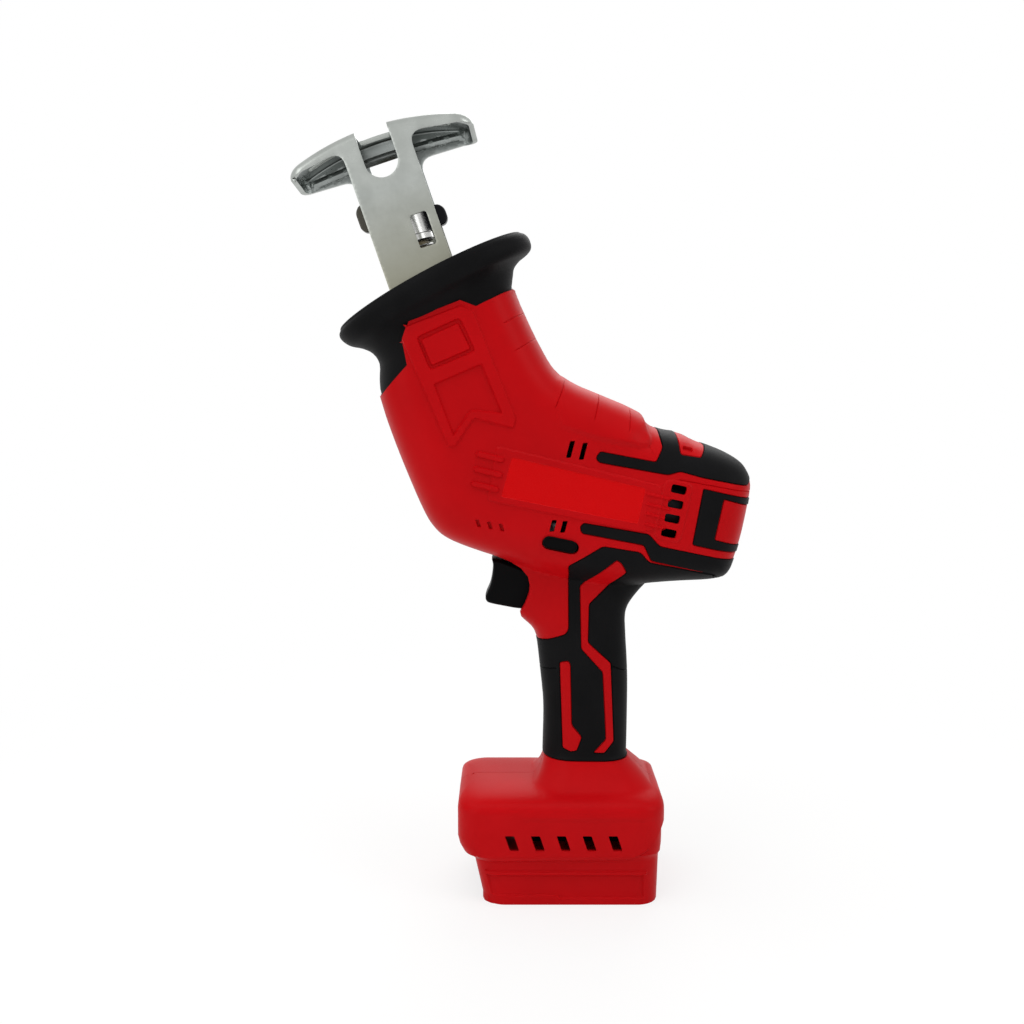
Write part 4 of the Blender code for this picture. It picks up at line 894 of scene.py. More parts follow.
# ---------------- housing surface
@dataclass(frozen=True)
class HousingForm:
    """The outside of the moulded body, handle and foot, as half widths over the side-view drawing.

    Attributes:
        body: Outline of the body.
        handle: Height, front and rear.
        foot: Height, front, rear and half width.
        neck: The same of the taper between foot and handle.
    """

    body_half_width: float = 31.0
    body_roundness: float = 2.6
    body_edge: float = 22.0
    handle_half_width: float = 17.5
    handle_roundness: float = 2.6
    handle_fillet: float = 9.0
    foot_corner: float = 12.0
    foot_shoulder: float = 46.0
    foot_top: float = 57.1
    foot_crest: float = 3.2
    foot_set_back: tuple[float, float] = (15.0, 13.0)
    neck_corner: float = 14.0
    neck_fillet: float = 5.0
    foot_fillet: float = 2.0
    body: Places = (
        (-67.5, 300), (-69.5, 280), (-70, 262), (-69, 255), (-66, 244.7), (-58.7, 224.3), (-46.8, 195.4),
        (-41, 187.2), (-35.5, 183), (-26.2, 179), (-13.8, 174.8), (0, 170.5), (14, 166), (30, 162.5), (45, 160.5),
        (62, 160), (78, 161.5), (102.3, 162.5), (107.7, 166.5), (110.5, 174.8), (113, 183.2), (114.8, 191.5),
        (117, 203.8), (118.1, 212), (114.5, 220.2), (109.3, 224.3), (101, 228.4), (89, 232.5), (82, 236.5),
        (73, 237.6), (65.7, 240.5), (63, 244.7), (45.4, 252.8), (26.5, 261), (17.4, 269), (10.7, 281.2),
        (6.7, 289.2), (1.1, 301.3), (-1.7, 309), (-1, 318), (1, 328),
    )
    handle: tuple[Point3, ...] = (
        (60, 13.8, 56.6), (70, 13.8, 57), (95, 14.5, 57.2), (110, 12.9, 57.2), (122, 11.6, 56.6),
        (130, 10.7, 56), (136, 8.5, 55.7), (141, 3, 55.4), (146, -4, 56), (151, -9, 58.5), (160, -10, 66),
        (172, -10, 80), (186, -12, 96),
    )
    foot: tuple[tuple[float, float, float, float], ...] = (
        (0, -18, 72.7, 35.8), (23.9, -23.2, 73.3, 36.2), (24, -23.2, 73.3, 36.2), (26, -26.8, 74.1, 37.5),
        (30, -29, 74.5, 37.5), (34, -30, 74.6, 37.5), (60, -30, 74.6, 37.5),
    )
    neck: tuple[tuple[float, float, float, float], ...] = (
        (46, -6, 74.4, 35.6), (50, -0.5, 73, 33.4), (54, 5, 71.2, 30.5), (58, 9.8, 68, 26.5), (62, 12.2, 64.5, 22.8),
        (66, 13.4, 60.5, 19.6), (69.5, 14.2, 57.2, 17.3), (73, 16, 54.5, 14.5),
    )

    def half_width(self, points: Array) -> Array:
        """Half the width of the saw at side-view points.

        Args:
            points: Rows of x and z in mm.

        Returns:
            Half widths in mm; below zero outside the saw.
        """
        outside, fall, handle_fall = -50.0, 3.0, 60.0
        x, z = points[:, 0], points[:, 1]
        outline = smoothed(self.body, 2)
        depth = line_distance(points, outline)
        crown = 1.0 - np.clip(depth / self.body_edge, 0.0, 1.0)
        power = self.body_roundness
        body = self.body_half_width * np.clip(1.0 - crown**power, 0.0, 1.0) ** (1.0 / power)
        body = np.where(within(points, outline), body, -fall * depth)

        rows = smoothed(self.handle, 2, closed=False)
        front, rear = np.interp(z, rows[:, 0], rows[:, 1]), np.interp(z, rows[:, 0], rows[:, 2])
        share = np.abs((x - (front + rear) / 2) / ((rear - front) / 2))
        power = self.handle_roundness
        round_part = self.handle_half_width * np.clip(1.0 - share**power, 0.0, 1.0) ** (1.0 / power)
        handle = np.where(share < 1.0, round_part, -handle_fall * (share - 1.0))
        handle = np.where((z > rows[-1, 0]) | (z < rows[0, 0]), outside, handle)

        rows = np.asarray(self.foot, float)
        front, rear, half = (np.interp(z, rows[:, 0], rows[:, i]) for i in (1, 2, 3))
        rise = np.clip((z - self.foot_shoulder) / (self.foot_top - self.foot_shoulder), 0.0, 1.0)
        arch = (1.0 - rise**self.foot_crest) ** (1.0 / self.foot_crest)
        front = front + self.foot_set_back[0] * (1.0 - arch)
        rear = rear - self.foot_set_back[1] * (1.0 - arch)
        foot = self._rounded_block(x, front, rear, half * arch, self.foot_corner)
        foot = np.where(z > self.foot_top, outside, foot)

        rows = smoothed(self.neck, 3, closed=False)
        front, rear, half = (np.interp(z, rows[:, 0], rows[:, i]) for i in (1, 2, 3))
        neck = self._rounded_block(x, front, rear, half, self.neck_corner)
        neck = np.where((z > rows[-1, 0]) | (z < rows[0, 0]), outside, neck)
        base = soft_maximum(foot, neck, self.neck_fillet)
        return soft_maximum(soft_maximum(body, handle, self.handle_fillet), base, self.foot_fillet)

    @staticmethod
    def _rounded_block(x: Array, front: Array, rear: Array, half: Array,
                       corner: float) -> Array:
        """Half width of an upright block with round corners.

        Args:
            x: Places along the block.
            front: Its front at each place's height.
            rear: Its rear there.
            half: Half its width there.
            corner: Radius of its corners.

        Returns:
            Half widths; below zero outside it.
        """
        inward = np.minimum(x - front, rear - x)
        corner = np.clip(half - 0.5, 0.05, corner)
        arc = np.sqrt(np.clip(corner**2 - np.clip(corner - inward, 0.0, None) ** 2, 0.0, None))
        return np.where(inward > 0.0, half - corner + arc, 3.0 * inward)

    def rim_point(self, point: Array, outward: Array, rim: float, reach: float = 4.5) -> Array:
        """Slides an outline point along its normal to where the half width falls to a rim height.

        Args:
            point: The outline point.
            outward: Its normal.
            rim: The half width to find, mm.
            reach: How far the point may slide either way, mm.

        Returns:
            The moved point, or the same one where there is no such place.
        """
        steps = np.linspace(-reach, reach, 91)
        heights = self.half_width(point + steps[:, None] * outward)
        full = np.nonzero(heights >= rim)[0]
        if not len(full) or full[-1] == len(steps) - 1:
            return point
        i = full[-1]
        share = (heights[i] - rim) / max(heights[i] - heights[i + 1], 1e-9)
        return point + (steps[i] + share * (steps[i + 1] - steps[i])) * outward


class Edge(Enum):
    """What a stretch of the shell's outline meets."""

    RIM = "the other shell"
    MOUTH = "the battery channel's mouth"
    BOOT = "the nose boot"
    SLOT = "the trigger slot"
    SOLE = "the ground"


@dataclass(frozen=True)
class Groove:
    """A V-shaped line pressed into the surface."""

    line: Outline
    width: float
    depth: float

    def constraints(self) -> list[Line]:
        """Lays out the groove's middle and its two lips.

        Returns:
            The three lines.
        """
        line = resampled(self.line, 1.6, closed=False)
        lips = [(offset_line(line, side * self.width / 2, closed=False), False) for side in (-1, 1)]
        return [(line, False), *lips]

    def height(self, points: Array) -> Array:
        """Offset of the surface at the points."""
        gap = line_distance(points, np.asarray(self.line, float), closed=False)
        return -self.depth * np.clip(1.0 - gap / (self.width / 2), 0.0, 1.0)


@dataclass(frozen=True)
class Plateau:
    """A raised or sunk panel with a sloping edge; it can fade in along x."""

    outline: Outline
    rise: float
    slope: float = 0.5
    fade: Point2 | None = None

    def constraints(self) -> list[Line]:
        """Lays out the foot and the crest of the panel's edge.

        Returns:
            The foot, and the crest where the panel is wide enough for one.
        """
        outline = resampled(self.outline, 1.6)
        inner = offset_line(outline, math.copysign(self.slope, signed_area(outline)))
        kept = inner[within(inner, outline) & (line_distance(inner, outline) > 0.7 * self.slope)]
        wide = len(kept) > 3 and len(kept) > 0.8 * len(inner)
        return [(outline, True), (kept, True)] if wide else [(outline, True)]

    def height(self, points: Array) -> Array:
        """Offset of the surface at side-view points.

        Args:
            points: Rows of x and z in mm.

        Returns:
            Offsets along the surface's normal, mm.
        """
        outline = np.asarray(self.outline, float)
        share = np.clip(line_distance(points, outline) / self.slope, 0.0, 1.0) * within(points, outline)
        if self.slope > 1.5:  # a wide slope runs out softly at both ends
            share = share * share * (3.0 - 2.0 * share)
        if self.fade:
            start, end = self.fade
            share = share * np.clip((points[:, 0] - start) / (end - start), 0.0, 1.0)
        return self.rise * share


@dataclass(frozen=True)
class SeatRing:
    """The round edge of a screw's seat."""

    centre: Point2
    radius: float

    def constraints(self) -> list[Line]:
        """Lays out two rings that carry the edge.

        Returns:
            The rings.
        """
        turns = np.linspace(0.0, 2.0 * math.pi, 24, endpoint=False)
        ring = np.stack((np.cos(turns), np.sin(turns)), axis=1)
        return [(np.asarray(self.centre) + ring * self.radius * share, True) for share in (1.0, 0.8)]


@dataclass
class ShellSheet:
    """A triangulated side view of the shell: rubber, holes and relief included.

    Attributes:
        form: The smooth surface under the relief.
        outline: Stretches of the outline, each with what it meets.
        inlays: Places inside the rubber where the nylon shows.
        spacing: Distance of the free points, mm.
        rim: Half width at the parting line, mm.
        rim_rings: Depths of the lines that follow the outline inside it, mm.
    """

    form: HousingForm
    outline: Sequence[tuple[Edge, Outline]]
    relief: Sequence[Groove | Plateau | SeatRing]
    holes: Sequence[Array]
    rubber: Sequence[Array]
    inlays: Sequence[Array]
    spacing: float = 1.3
    rim: float = 0.3
    mouth_half_width: float = 26.2
    rim_rings: tuple[float, ...] = (0.025, 0.09, 0.2, 0.38, 0.65, 1.05, 1.6, 2.35, 3.3)
    points: Array = field(init=False)
    triangles: Array = field(init=False)
    is_rubber: Array = field(init=False)
    edge_of: dict[int, Edge] = field(init=False)
    between: list[tuple[int, int, int, float]] = field(init=False)

    def __post_init__(self) -> None:
        """Lays out the points and triangles."""
        border, kinds = self._border()
        inward = math.copysign(1.0, signed_area(border))
        lines = [(offset_line(border, inward * depth), True) for depth in self.rim_rings]
        for feature in self.relief:
            lines += feature.constraints()
        lines += [(resampled(hole, 1.2), True) for hole in self.holes]
        joint_half = 0.35
        for region in (*self.rubber, *self.inlays):
            region = resampled(region, 1.4)
            lines += [(offset_line(region, side), True) for side in (-joint_half, 0.0, joint_half)]
        self._triangulate(border, lines)
        self._bind(border, kinds)
        LOG.info("side view: %d points, %d triangles", len(self.points), len(self.triangles))

    def in_rubber(self, points: Array) -> Array:
        """Tells which side-view points lie on the soft overmould.

        Args:
            points: Rows of x and z in mm.

        Returns:
            True for each point on rubber.
        """
        soft = np.zeros(len(points), bool)
        for region in self.rubber:
            soft |= within(points, region)
        for region in self.inlays:
            soft &= ~within(points, region)
        return soft

    def _border(self) -> tuple[Array, list[Edge]]:
        """Slides the outline's free stretches to the true rim.

        Returns:
            The outline's points, and what each of them meets.
        """
        rough, kinds = [], []
        for kind, stretch in self.outline:
            line = resampled(stretch, 1.2, closed=False)
            rough.append(line)
            kinds += [kind] * len(line)
        border = np.vstack(rough)
        heights = {Edge.RIM: self.rim, Edge.MOUTH: self.mouth_half_width}
        # where a free stretch ends, its last point takes its normal from that stretch alone
        free = np.array([kind in heights for kind in kinds])
        last, first = (free & ~np.roll(free, turn) for turn in (-1, 1))
        # two passes, because a slid neighbour changes a point's normal
        for _ in range(2):
            ahead, behind = np.roll(border, -1, axis=0), np.roll(border, 1, axis=0)
            ahead[last], behind[first] = border[last], border[first]
            tangent = unit(ahead - behind)
            normal = np.stack((tangent[:, 1], -tangent[:, 0]), axis=1) * math.copysign(1.0, signed_area(border))
            for i in np.nonzero(free)[0]:
                border[i] = self.form.rim_point(border[i], normal[i], heights[kinds[i]])
        doubled_mm = 0.05
        keep = np.linalg.norm(border - np.roll(border, 1, axis=0), axis=1) > doubled_mm
        return border[keep], [kind for kind, kept in zip(kinds, keep) if kept]

    def _triangulate(self, border: Array, lines: list[Line]) -> None:
        """Meshes the side view and sorts its triangles into nylon and rubber.

        Args:
            border: The outline.
            lines: Lines that become edges.
        """
        points, faces, centre = triangulated(border, lines, self.spacing, 0.42,
                                             self.rim_rings[-1] + 0.5 * self.spacing)
        keep = within(centre, border)
        for hole in self.holes:
            keep &= ~within(centre, hole)
        a, b, c = (points[faces[:, i]] for i in range(3))
        area = (b - a)[:, 0] * (c - a)[:, 1] - (b - a)[:, 1] * (c - a)[:, 0]
        faces[area < 0] = faces[area < 0][:, ::-1]
        keep &= np.abs(area) > 1e-6
        self.points, self.triangles, self.is_rubber = points, faces[keep], self.in_rubber(centre[keep])

    def _bind(self, border: Array, kinds: list[Edge]) -> None:
        """Finds the points that lie on the outline.

        Args:
            border: The outline.
            kinds: What each of its points meets.
        """
        same_mm, off_mm = 2e-3, 1e-3
        rim = search_tree(border)
        self.edge_of, of_border, loose = {}, {}, []
        for i, (x, z) in enumerate(self.points):
            _, nearest, distance = rim.find((x, z, 0.0))
            if distance < same_mm:
                self.edge_of[i] = kinds[nearest]
                of_border[nearest] = i
            elif distance < self.spacing:
                loose.append((i, nearest))
        # a line that crosses the border leaves a point there, which has to stay between its neighbours
        self.between = []
        for i, nearest in loose:
            for first in (nearest - 1, nearest):
                first, second = first % len(border), (first + 1) % len(border)
                along = border[second] - border[first]
                share = (self.points[i] - border[first]) @ along / max(along @ along, 1e-12)
                off = self.points[i] - border[first] - share * along
                if 0.0 < share < 1.0 and off @ off < off_mm**2 and first in of_border and second in of_border:
                    self.between.append((i, of_border[first], of_border[second], float(share)))
                    self.edge_of[i] = kinds[first]
                    break


# ---------------- shells and overmould
def motor_patch(s: Point2, q: Point2, radius: float) -> Array:
    """A rounded opening squared to the motor axis, as a side-view outline.

    Args:
        s: Its reach along the motor axis, mm.
        q: Its reach above the axis, mm.
        radius: Radius of its corners, mm.

    Returns:
        The outline.
    """
    turn = math.atan2(SAW.motor.z, SAW.motor.x)
    corners = ((s[0], q[0]), (s[1], q[0]), (s[1], q[1]), (s[0], q[1]))
    return filleted([swung(a, b, turn, SAW.drawing_axle) for a, b in corners], radius)


@dataclass
class HousingDrawing:
    """The lines of the side view: parting, panels, grooves, openings and soft inserts.

    Attributes:
        screws: x, z and seat of each screw.
    """

    boot_edge: Places = (
        (-69.2, 254.6), (-66.5, 255.7), (-52.9, 270.3), (-55.2, 281.8), (-51.8, 291.7), (-27.3, 301.1),
        (-19.7, 298.2), (-1.5, 307.2),
    )
    crown: Places = (
        (-1.2, 307.0), *HousingForm.body[17:38][::-1], (90, 161.8), (78, 161.2), (68, 157.5), (61.4, 153.5),
        (57.2, 147), (55.8, 141), (55.8, 132), (56.6, 122), (57.2, 110), (57.2, 95), (57, 72), (57.6, 69), (60.3, 66),
        (64.4, 62), (67.9, 58), (71, 54), (73.2, 50.5), (74.5, 46), (74.6, 34), (74.5, 30), (74.1, 26), (73.3, 23.9),
        (72.7, 0),
    )
    mouth: Places = ((-17.8, 0), (-23.1, 23.9))
    front: Places = (
        (-23.3, 24), (-26.8, 26), (-29, 30), (-30, 34), (-30, 46), (-29.4, 50), (-27.4, 53.6), (-23, 56.2), (-15, 57.1),
        (3, 57.4), (8, 58.8), (11.2, 61.6), (12.9, 65.5), (13.7, 69.5), (14.2, 82), (14.5, 95), (12.9, 110),
        (11.6, 122), (10.7, 130), (8.5, 136), (3.6, 141),
    )
    trigger_slot: Places = (
        (2.2, 142.8), (1.6, 146), (4, 150), (6.2, 156), (6.5, 160), (5.6, 164.5), (2, 168.7), (-4, 172), (-13.0, 174.2),
    )
    belly: Places = HousingForm.body[4:11][::-1]
    screws: tuple[Point3, ...] = (
        (-6.5, 285, 22.5), (-55.5, 247.5, 22.5), (3.5, 182.5, 22.5), (30, 250, 22.5), (84, 229.5, 22.5),
        (66, 166, 22.5), (36, 126.5, 9), (36, 77, 9),
    )
    screw_head_radius: float = 3.2

    def outline(self) -> list[tuple[Edge, Outline]]:
        """Puts the shell's outline together.

        Returns:
            Its stretches, each with what it meets.
        """
        return [
            (Edge.BOOT, self.boot_edge), (Edge.RIM, self.crown), (Edge.SOLE, ((72.6, 0), (-17.7, 0))),
            (Edge.MOUTH, self.mouth), (Edge.RIM, self.front), (Edge.SLOT, self.trigger_slot), (Edge.RIM, self.belly),
        ]

    def rubber(self) -> list[Array]:
        """Draws the soft inserts, which may run past the shell's own outline.

        Returns:
            Their outlines.
        """
        upper = [
            (38.2, 225.7), (40.1, 228.8), (67.4, 223.6), (71, 230.6), (70.1, 236), (70.3, 243), (79.6, 243),
            (79.1, 235.3), (79.6, 227.1), (90.1, 225.4), (93.8, 230.9), (95, 240), (125, 232), (124, 220),
            (118.1, 216.6), (114, 211.5), (111.3, 211.8), (89.8, 216.1), (79.3, 219.1), (73.2, 217.4), (39.6, 223.5),
        ]
        clasp = [
            (90.6, 210.6), (113.5, 205.2), (121, 203.6), (121, 199.8), (114.1, 201.4), (100.7, 205.5), (96.5, 185.5),
            (109.3, 181.7), (117, 180), (116, 176), (109.5, 177.7), (85.7, 183.1),
        ]
        lower = [
            (30.7, 192), (32.4, 193.9), (64.3, 188.3), (69.8, 182.3), (106.1, 174.6), (116, 172.5), (113, 158),
            (100.5, 156), (97.5, 167.4), (65.7, 175), (62, 182.9), (31.6, 188.8),
        ]
        grip = [
            (25.8, 166.9), (25.2, 171.8), (42, 182.3), (60.4, 179.3), (64.7, 174.2), (99.1, 166.7), (103, 156),
            (88, 150), (66, 140), (66, 68.8), (5, 69.6), (2, 129), (7.6, 130.3), (15.8, 132.1), (24.6, 135.3),
            (26.1, 138),
        ]
        return [filleted(upper, 1.3), filleted(clasp, 0.9), filleted(lower, 1.2), filleted(grip, 1.6)]

    def inlays(self) -> list[Array]:
        """Draws the nylon that shows inside the soft grip.

        Returns:
            Its outlines.
        """
        bolt = [
            (49, 175.5), (51.5, 173.4), (54.1, 168.6), (36.4, 150.8), (36, 131.2), (47.8, 120.1), (49.8, 78.9),
            (44.8, 73), (39, 73.6), (45.5, 80.4), (43.5, 115.6), (32.4, 128), (31.6, 160.3),
        ]
        bar = [
            (21.6, 120.7), (26.2, 121.6), (27.2, 119.5), (28, 88.1), (33.2, 81.8), (30.7, 74.6), (27.5, 73.9),
            (23.3, 75.8),
        ]
        return [filleted(bolt, 1.1), filleted(bar, 1.1)]

    def holes(self) -> list[Array]:
        """Draws the cooling slots and the lock button's opening, right through the wall.

        Returns:
            Their outlines.
        """
        slots = (((25.8, 229.8), 8.2), ((32.0, 228.9), 8.2), ((17.5, 192.5), 5.8), ((22.8, 192), 5.8))
        side = [filleted(slanted_box(centre, 2.4, height, height / 4), 0.5) for centre, height in slots]
        rear = [motor_patch((88.0, 95.5), (9.9 - 7.3 * k, 14.1 - 7.3 * k), 1.3) for k in range(4)]
        foot = [filleted(slanted_box((-2.5 + 12.9 * k, 33.4), 4.6, 7.8, -2.6), 0.6) for k in range(5)]
        return [*side, *rear, *foot, np.asarray(stadium((21.2, 182.8), 9.2, 3.3, -12.0, 7))]

    def plate(self) -> Array:
        """Draws the smooth name plate, which stays bare.

        Returns:
            Its outline.
        """
        return filleted([
            (-10.2, 231.8), (69.8, 212.6), (71.5, 206), (68, 190.5), (60.4, 189), (-14.6, 204.6),
        ], 2.4)

    def label_field(self) -> Array:
        """Outline of the polished face inside the name plate."""
        return filleted([(-2.6, 226.2), (62.4, 211.0), (58.8, 193.6), (-7.9, 206.8)], 1.2)

    def relief(self) -> list[Groove | Plateau]:
        """Draws the panels, ridges and lines of the nylon.

        Returns:
            The features, in the order in which they add up.
        """
        frame_line = [
            (-57.7, 287.3), (-33.4, 231), (-29.6, 231), (-20.8, 244.5), (-1.5, 239.7), (-0.1, 244.5), (-20.6, 295.9),
            (-26.8, 299),
        ]
        window = [(-48.4, 283.6), (-27.3, 293.1), (-19.7, 277), (-41.8, 267.5)]
        arrow = [(-40.4, 261.3), (-16.9, 271.3), (-6.8, 246.9), (-22.2, 248.4), (-30.8, 235.8)]
        pane = [(-46.4, 282.4), (-28.2, 290.6), (-21.9, 277.9), (-41.2, 269.7)]
        hump = [
            (18, 264), (26.5, 268), (45.4, 259), (62.8, 250), (64.6, 239.5), (66.6, 234.6), (65.2, 230.6), (60, 229.6),
            (40, 233.5), (20, 240),
        ]
        skirt = [
            (-40, 23.6), (-20, 23.6), (54, 24.4), (61.4, 27.6), (66.4, 31), (70.1, 35.4), (74.6, 43), (85, 43),
            (85, -9), (-40, -9),
        ]
        ledge = [(-16.2, 15.6), (64.5, 15.6), (64.5, 3.2), (21.5, 3.2), (20.3, 4.6), (-13.6, 4.6)]
        ridge = [(-17.2, 18.2), (66, 18.2), (66, 15.6), (-16.6, 15.6)]
        # ends of the ribs before and behind the plate
        broad = (((-20.2, 227.9), (-6.0, 224.6)), ((-21.3, 220.6), (-6.8, 217.2)), ((-22.6, 213.5), (-8.6, 210.2)))
        narrow = (((62.5, 208.5), (75.6, 205.4)), ((62.5, 203.6), (74.8, 200.6)), ((62.5, 198.8), (74.2, 195.8)),
                  ((62.0, 193.8), (72.6, 191.1)))
        dimples = [slanted_box((-19.0 + 5.7 * k, 193.6 - 1.0 * k), 1.9, 3.9, -1.1) for k in range(3)]
        # line, width, depth
        grooves = (
            (((24.6, 267), (22.3, 259.4), (18.9, 250.7)), 0.7, 0.4),
            (((42.3, 260), (39.8, 253.1), (37.3, 244)), 0.7, 0.4),
            (((56.6, 252), (55.1, 245.8), (54.2, 238.4)), 0.7, 0.4),
            (((12.5, 285.2), (6.5, 281.6), (-0.5, 277.4)), 0.7, 0.3),
            (((6.6, 297.5), (0.8, 294.2), (-6.2, 290.4)), 0.7, 0.3),
            (((79, 215), (95, 212), (112.4, 208.7), (121, 207)), 0.7, 0.45),
            (((64.2, 231.2), (66.9, 226.4)), 0.6, 0.2),
            (((2, 113.4), (9.5, 115.1), (19.6, 117.3)), 0.9, 0.5),
            (((66, 114.5), (57.5, 113.7), (48.8, 118.2)), 0.9, 0.5),
        )
        return [
            Plateau(filleted(frame_line, 1.2), 1.0, 0.9), Plateau(filleted(window, 2.2), -1.3, 0.6),
            Plateau(filleted(pane, 1.2), 1.0, 0.6), Plateau(filleted(arrow, 1.2), -1.2, 0.8),
            Plateau(self.plate(), 0.8, 0.9), Plateau(self.label_field(), -0.25, 0.3),
            *(self._rib(start, end, 1.6, 1.0) for start, end in broad),
            *(self._rib(start, end, 0.85, 0.75) for start, end in narrow),
            Plateau(filleted(hump, 2.5), 1.5, 2.6, fade=(8.0, 52.0)),
            *(Groove(*groove) for groove in grooves[:7]),
            Plateau(stadium((83.6, 229.6), 2.9, 1.0, -14.0), -1.4, 0.35),
            *(Plateau(filleted(dimple, 0.4), -1.6, 0.35) for dimple in dimples),
            Plateau(motor_patch((84.2, 98.6), (-14.0, 16.2), 4.0), 0.55, 0.8),
            Plateau(filleted(skirt, 2.0), -1.3, 0.9), Plateau(filleted(ledge, 0.8), -1.2, 0.9),
            Plateau(filleted(ridge, 0.6), 0.9, 0.7),
            *(Groove(*groove) for groove in grooves[7:]),
        ]

    @staticmethod
    def _rib(start: Point2, end: Point2, half_width: float, rise: float) -> Plateau:
        """A raised bar with round ends.

        Args:
            start: Where its length starts.
            end: Where it ends.
            half_width: Half its width, mm.
            rise: Its height, mm.

        Returns:
            The bar.
        """
        centre = ((start[0] + end[0]) / 2, (start[1] + end[1]) / 2)
        length = math.dist(start, end) / 2
        angle = math.degrees(math.atan2(end[1] - start[1], end[0] - start[0]))
        return Plateau(stadium(centre, length, half_width, angle), rise, 0.55)


@dataclass
class MouldedBody:
    """The two nylon shells with the rubber moulded onto them."""

    form: HousingForm = field(default_factory=HousingForm)
    drawing: HousingDrawing = field(default_factory=HousingDrawing)
    nylon_wall: float = 2.2
    rubber_wall: float = 1.9
    rubber_rise: float = 0.35
    joint_depth: float = 0.5
    joint_reach: float = 0.35
    slot_half_width: float = 9.2
    seat_margin: float = 0.2
    sheet: ShellSheet = field(init=False)

    def build(self) -> None:
        """Makes the shells and their overmould."""
        drawing = self.drawing
        relief = drawing.relief()
        seats = [SeatRing((x, z), drawing.screw_head_radius + 2 * self.seat_margin) for x, z, _ in drawing.screws]
        self.sheet = ShellSheet(self.form, drawing.outline(), [*relief, *seats], drawing.holes(), drawing.rubber(),
                                drawing.inlays())
        smooth = self._lifted(relief)
        for side in Side:
            self._half(side, smooth)

    def _lifted(self, relief: Sequence[Groove | Plateau]) -> Array:
        """Raises the side view to the surface with its relief.

        Args:
            relief: Grooves and panels.

        Returns:
            Rows of x, y and z in mm for the positive side.
        """
        points, form, sheet = self.sheet.points, self.form, self.sheet
        step, inside = 0.01, 0.02
        height = np.clip(form.half_width(points), SEAM, None)
        slope_x, slope_z = ((form.half_width(points + way) - form.half_width(points - way)) / (2 * step)
                            for way in ((step, 0.0), (0.0, step)))
        normal = unit(np.stack((-slope_x, np.ones(len(points)), -slope_z), axis=1))
        gap = np.min([line_distance(points, region) for region in (*sheet.rubber, *sheet.inlays)], axis=0)
        share = np.clip(gap / self.joint_reach, 0.0, 1.0)
        lift = sum(feature.height(points) for feature in relief)
        lift = lift + self.rubber_rise * share * sheet.in_rubber(points) - self.joint_depth * (1.0 - share)
        place = np.stack((points[:, 0], height, points[:, 1]), axis=1) + normal * lift[:, None]
        for i, kind in sheet.edge_of.items():
            if kind is Edge.RIM:
                place[i, 1] = SEAM
        front, rear = ((corner.x - SAW.place(0.0, 0.0, 0.0).x) / MM for corner in CAD_BOX)
        place[:, 0] = np.clip(place[:, 0], front + inside, rear - inside)
        place[:, 1] = np.maximum(place[:, 1], SEAM)
        for i, first, second, share in sheet.between:
            place[i] = place[first] * (1.0 - share) + place[second] * share
        place[:, 2] = np.maximum(place[:, 2], inside)
        return place

    def _half(self, side: Side, smooth: Array) -> None:
        """Makes one shell and its overmould.

        Args:
            side: Which half.
            smooth: The surface without screw seats.
        """
        place = smooth.copy()
        if side is Side.RIGHT:
            for x, z, seat in self.drawing.screws:
                gap = np.hypot(self.sheet.points[:, 0] - x, self.sheet.points[:, 1] - z)
                place[gap < self.drawing.screw_head_radius + self.seat_margin, 1] = seat
        place[:, 1] *= side.value
        place = np.array([SAW.place(*point) for point in place])
        name = side.name.lower()
        self._skin(f"{name}_shell", side, place, False, f"{name}_housing")
        self._skin(f"{name}_overmould", side, place, True, f"{name}_grip", f"{name}_rear_band")

    def _skin(self, name: str, side: Side, place: Array, soft: bool, *nodes: str) -> None:
        """Makes the nylon or the rubber of one half.

        Args:
            name: Piece name.
            side: Which half.
            place: World points of the sheet.
            soft: Whether this is the rubber.
            nodes: CAD nodes that it stands for.
        """
        faces = self.sheet.triangles[self.sheet.is_rubber == soft]
        if not soft:
            faces, place = self._slot_wall(faces, place, side)
        if side is Side.RIGHT:
            faces = faces[:, ::-1]
        piece = make_piece(name, place, faces, BLACK_RUBBER if soft else RED_NYLON)
        clean(piece, 0.002, outward=False)
        # the broad faces look away from the parting plane
        if sum(polygon.normal.y * polygon.area for polygon in piece.data.polygons) * side.value < 0:
            piece.data.flip_normals()
        if not soft:
            self._polish(piece)
        add_wall(piece, self.rubber_wall if soft else self.nylon_wall)
        apply_modifiers(piece)
        for vertex in piece.data.vertices:
            vertex.co.z = max(vertex.co.z, 0.0)
        settle(piece, "housing", "black_rubber" if soft else "red_nylon", *nodes)

    def _polish(self, piece: Piece) -> None:
        """Gives the name plate its smoother skin.

        Args:
            piece: A nylon shell without its wall.
        """
        piece.data.materials.append(POLISHED_RED.material())
        origin = SAW.place(0.0, 0.0, 0.0)
        centres = np.array([((p.center.x - origin.x) / MM, p.center.z / MM) for p in piece.data.polygons])
        for polygon, polished in zip(piece.data.polygons, within(centres, self.drawing.label_field())):
            polygon.material_index = int(polished)

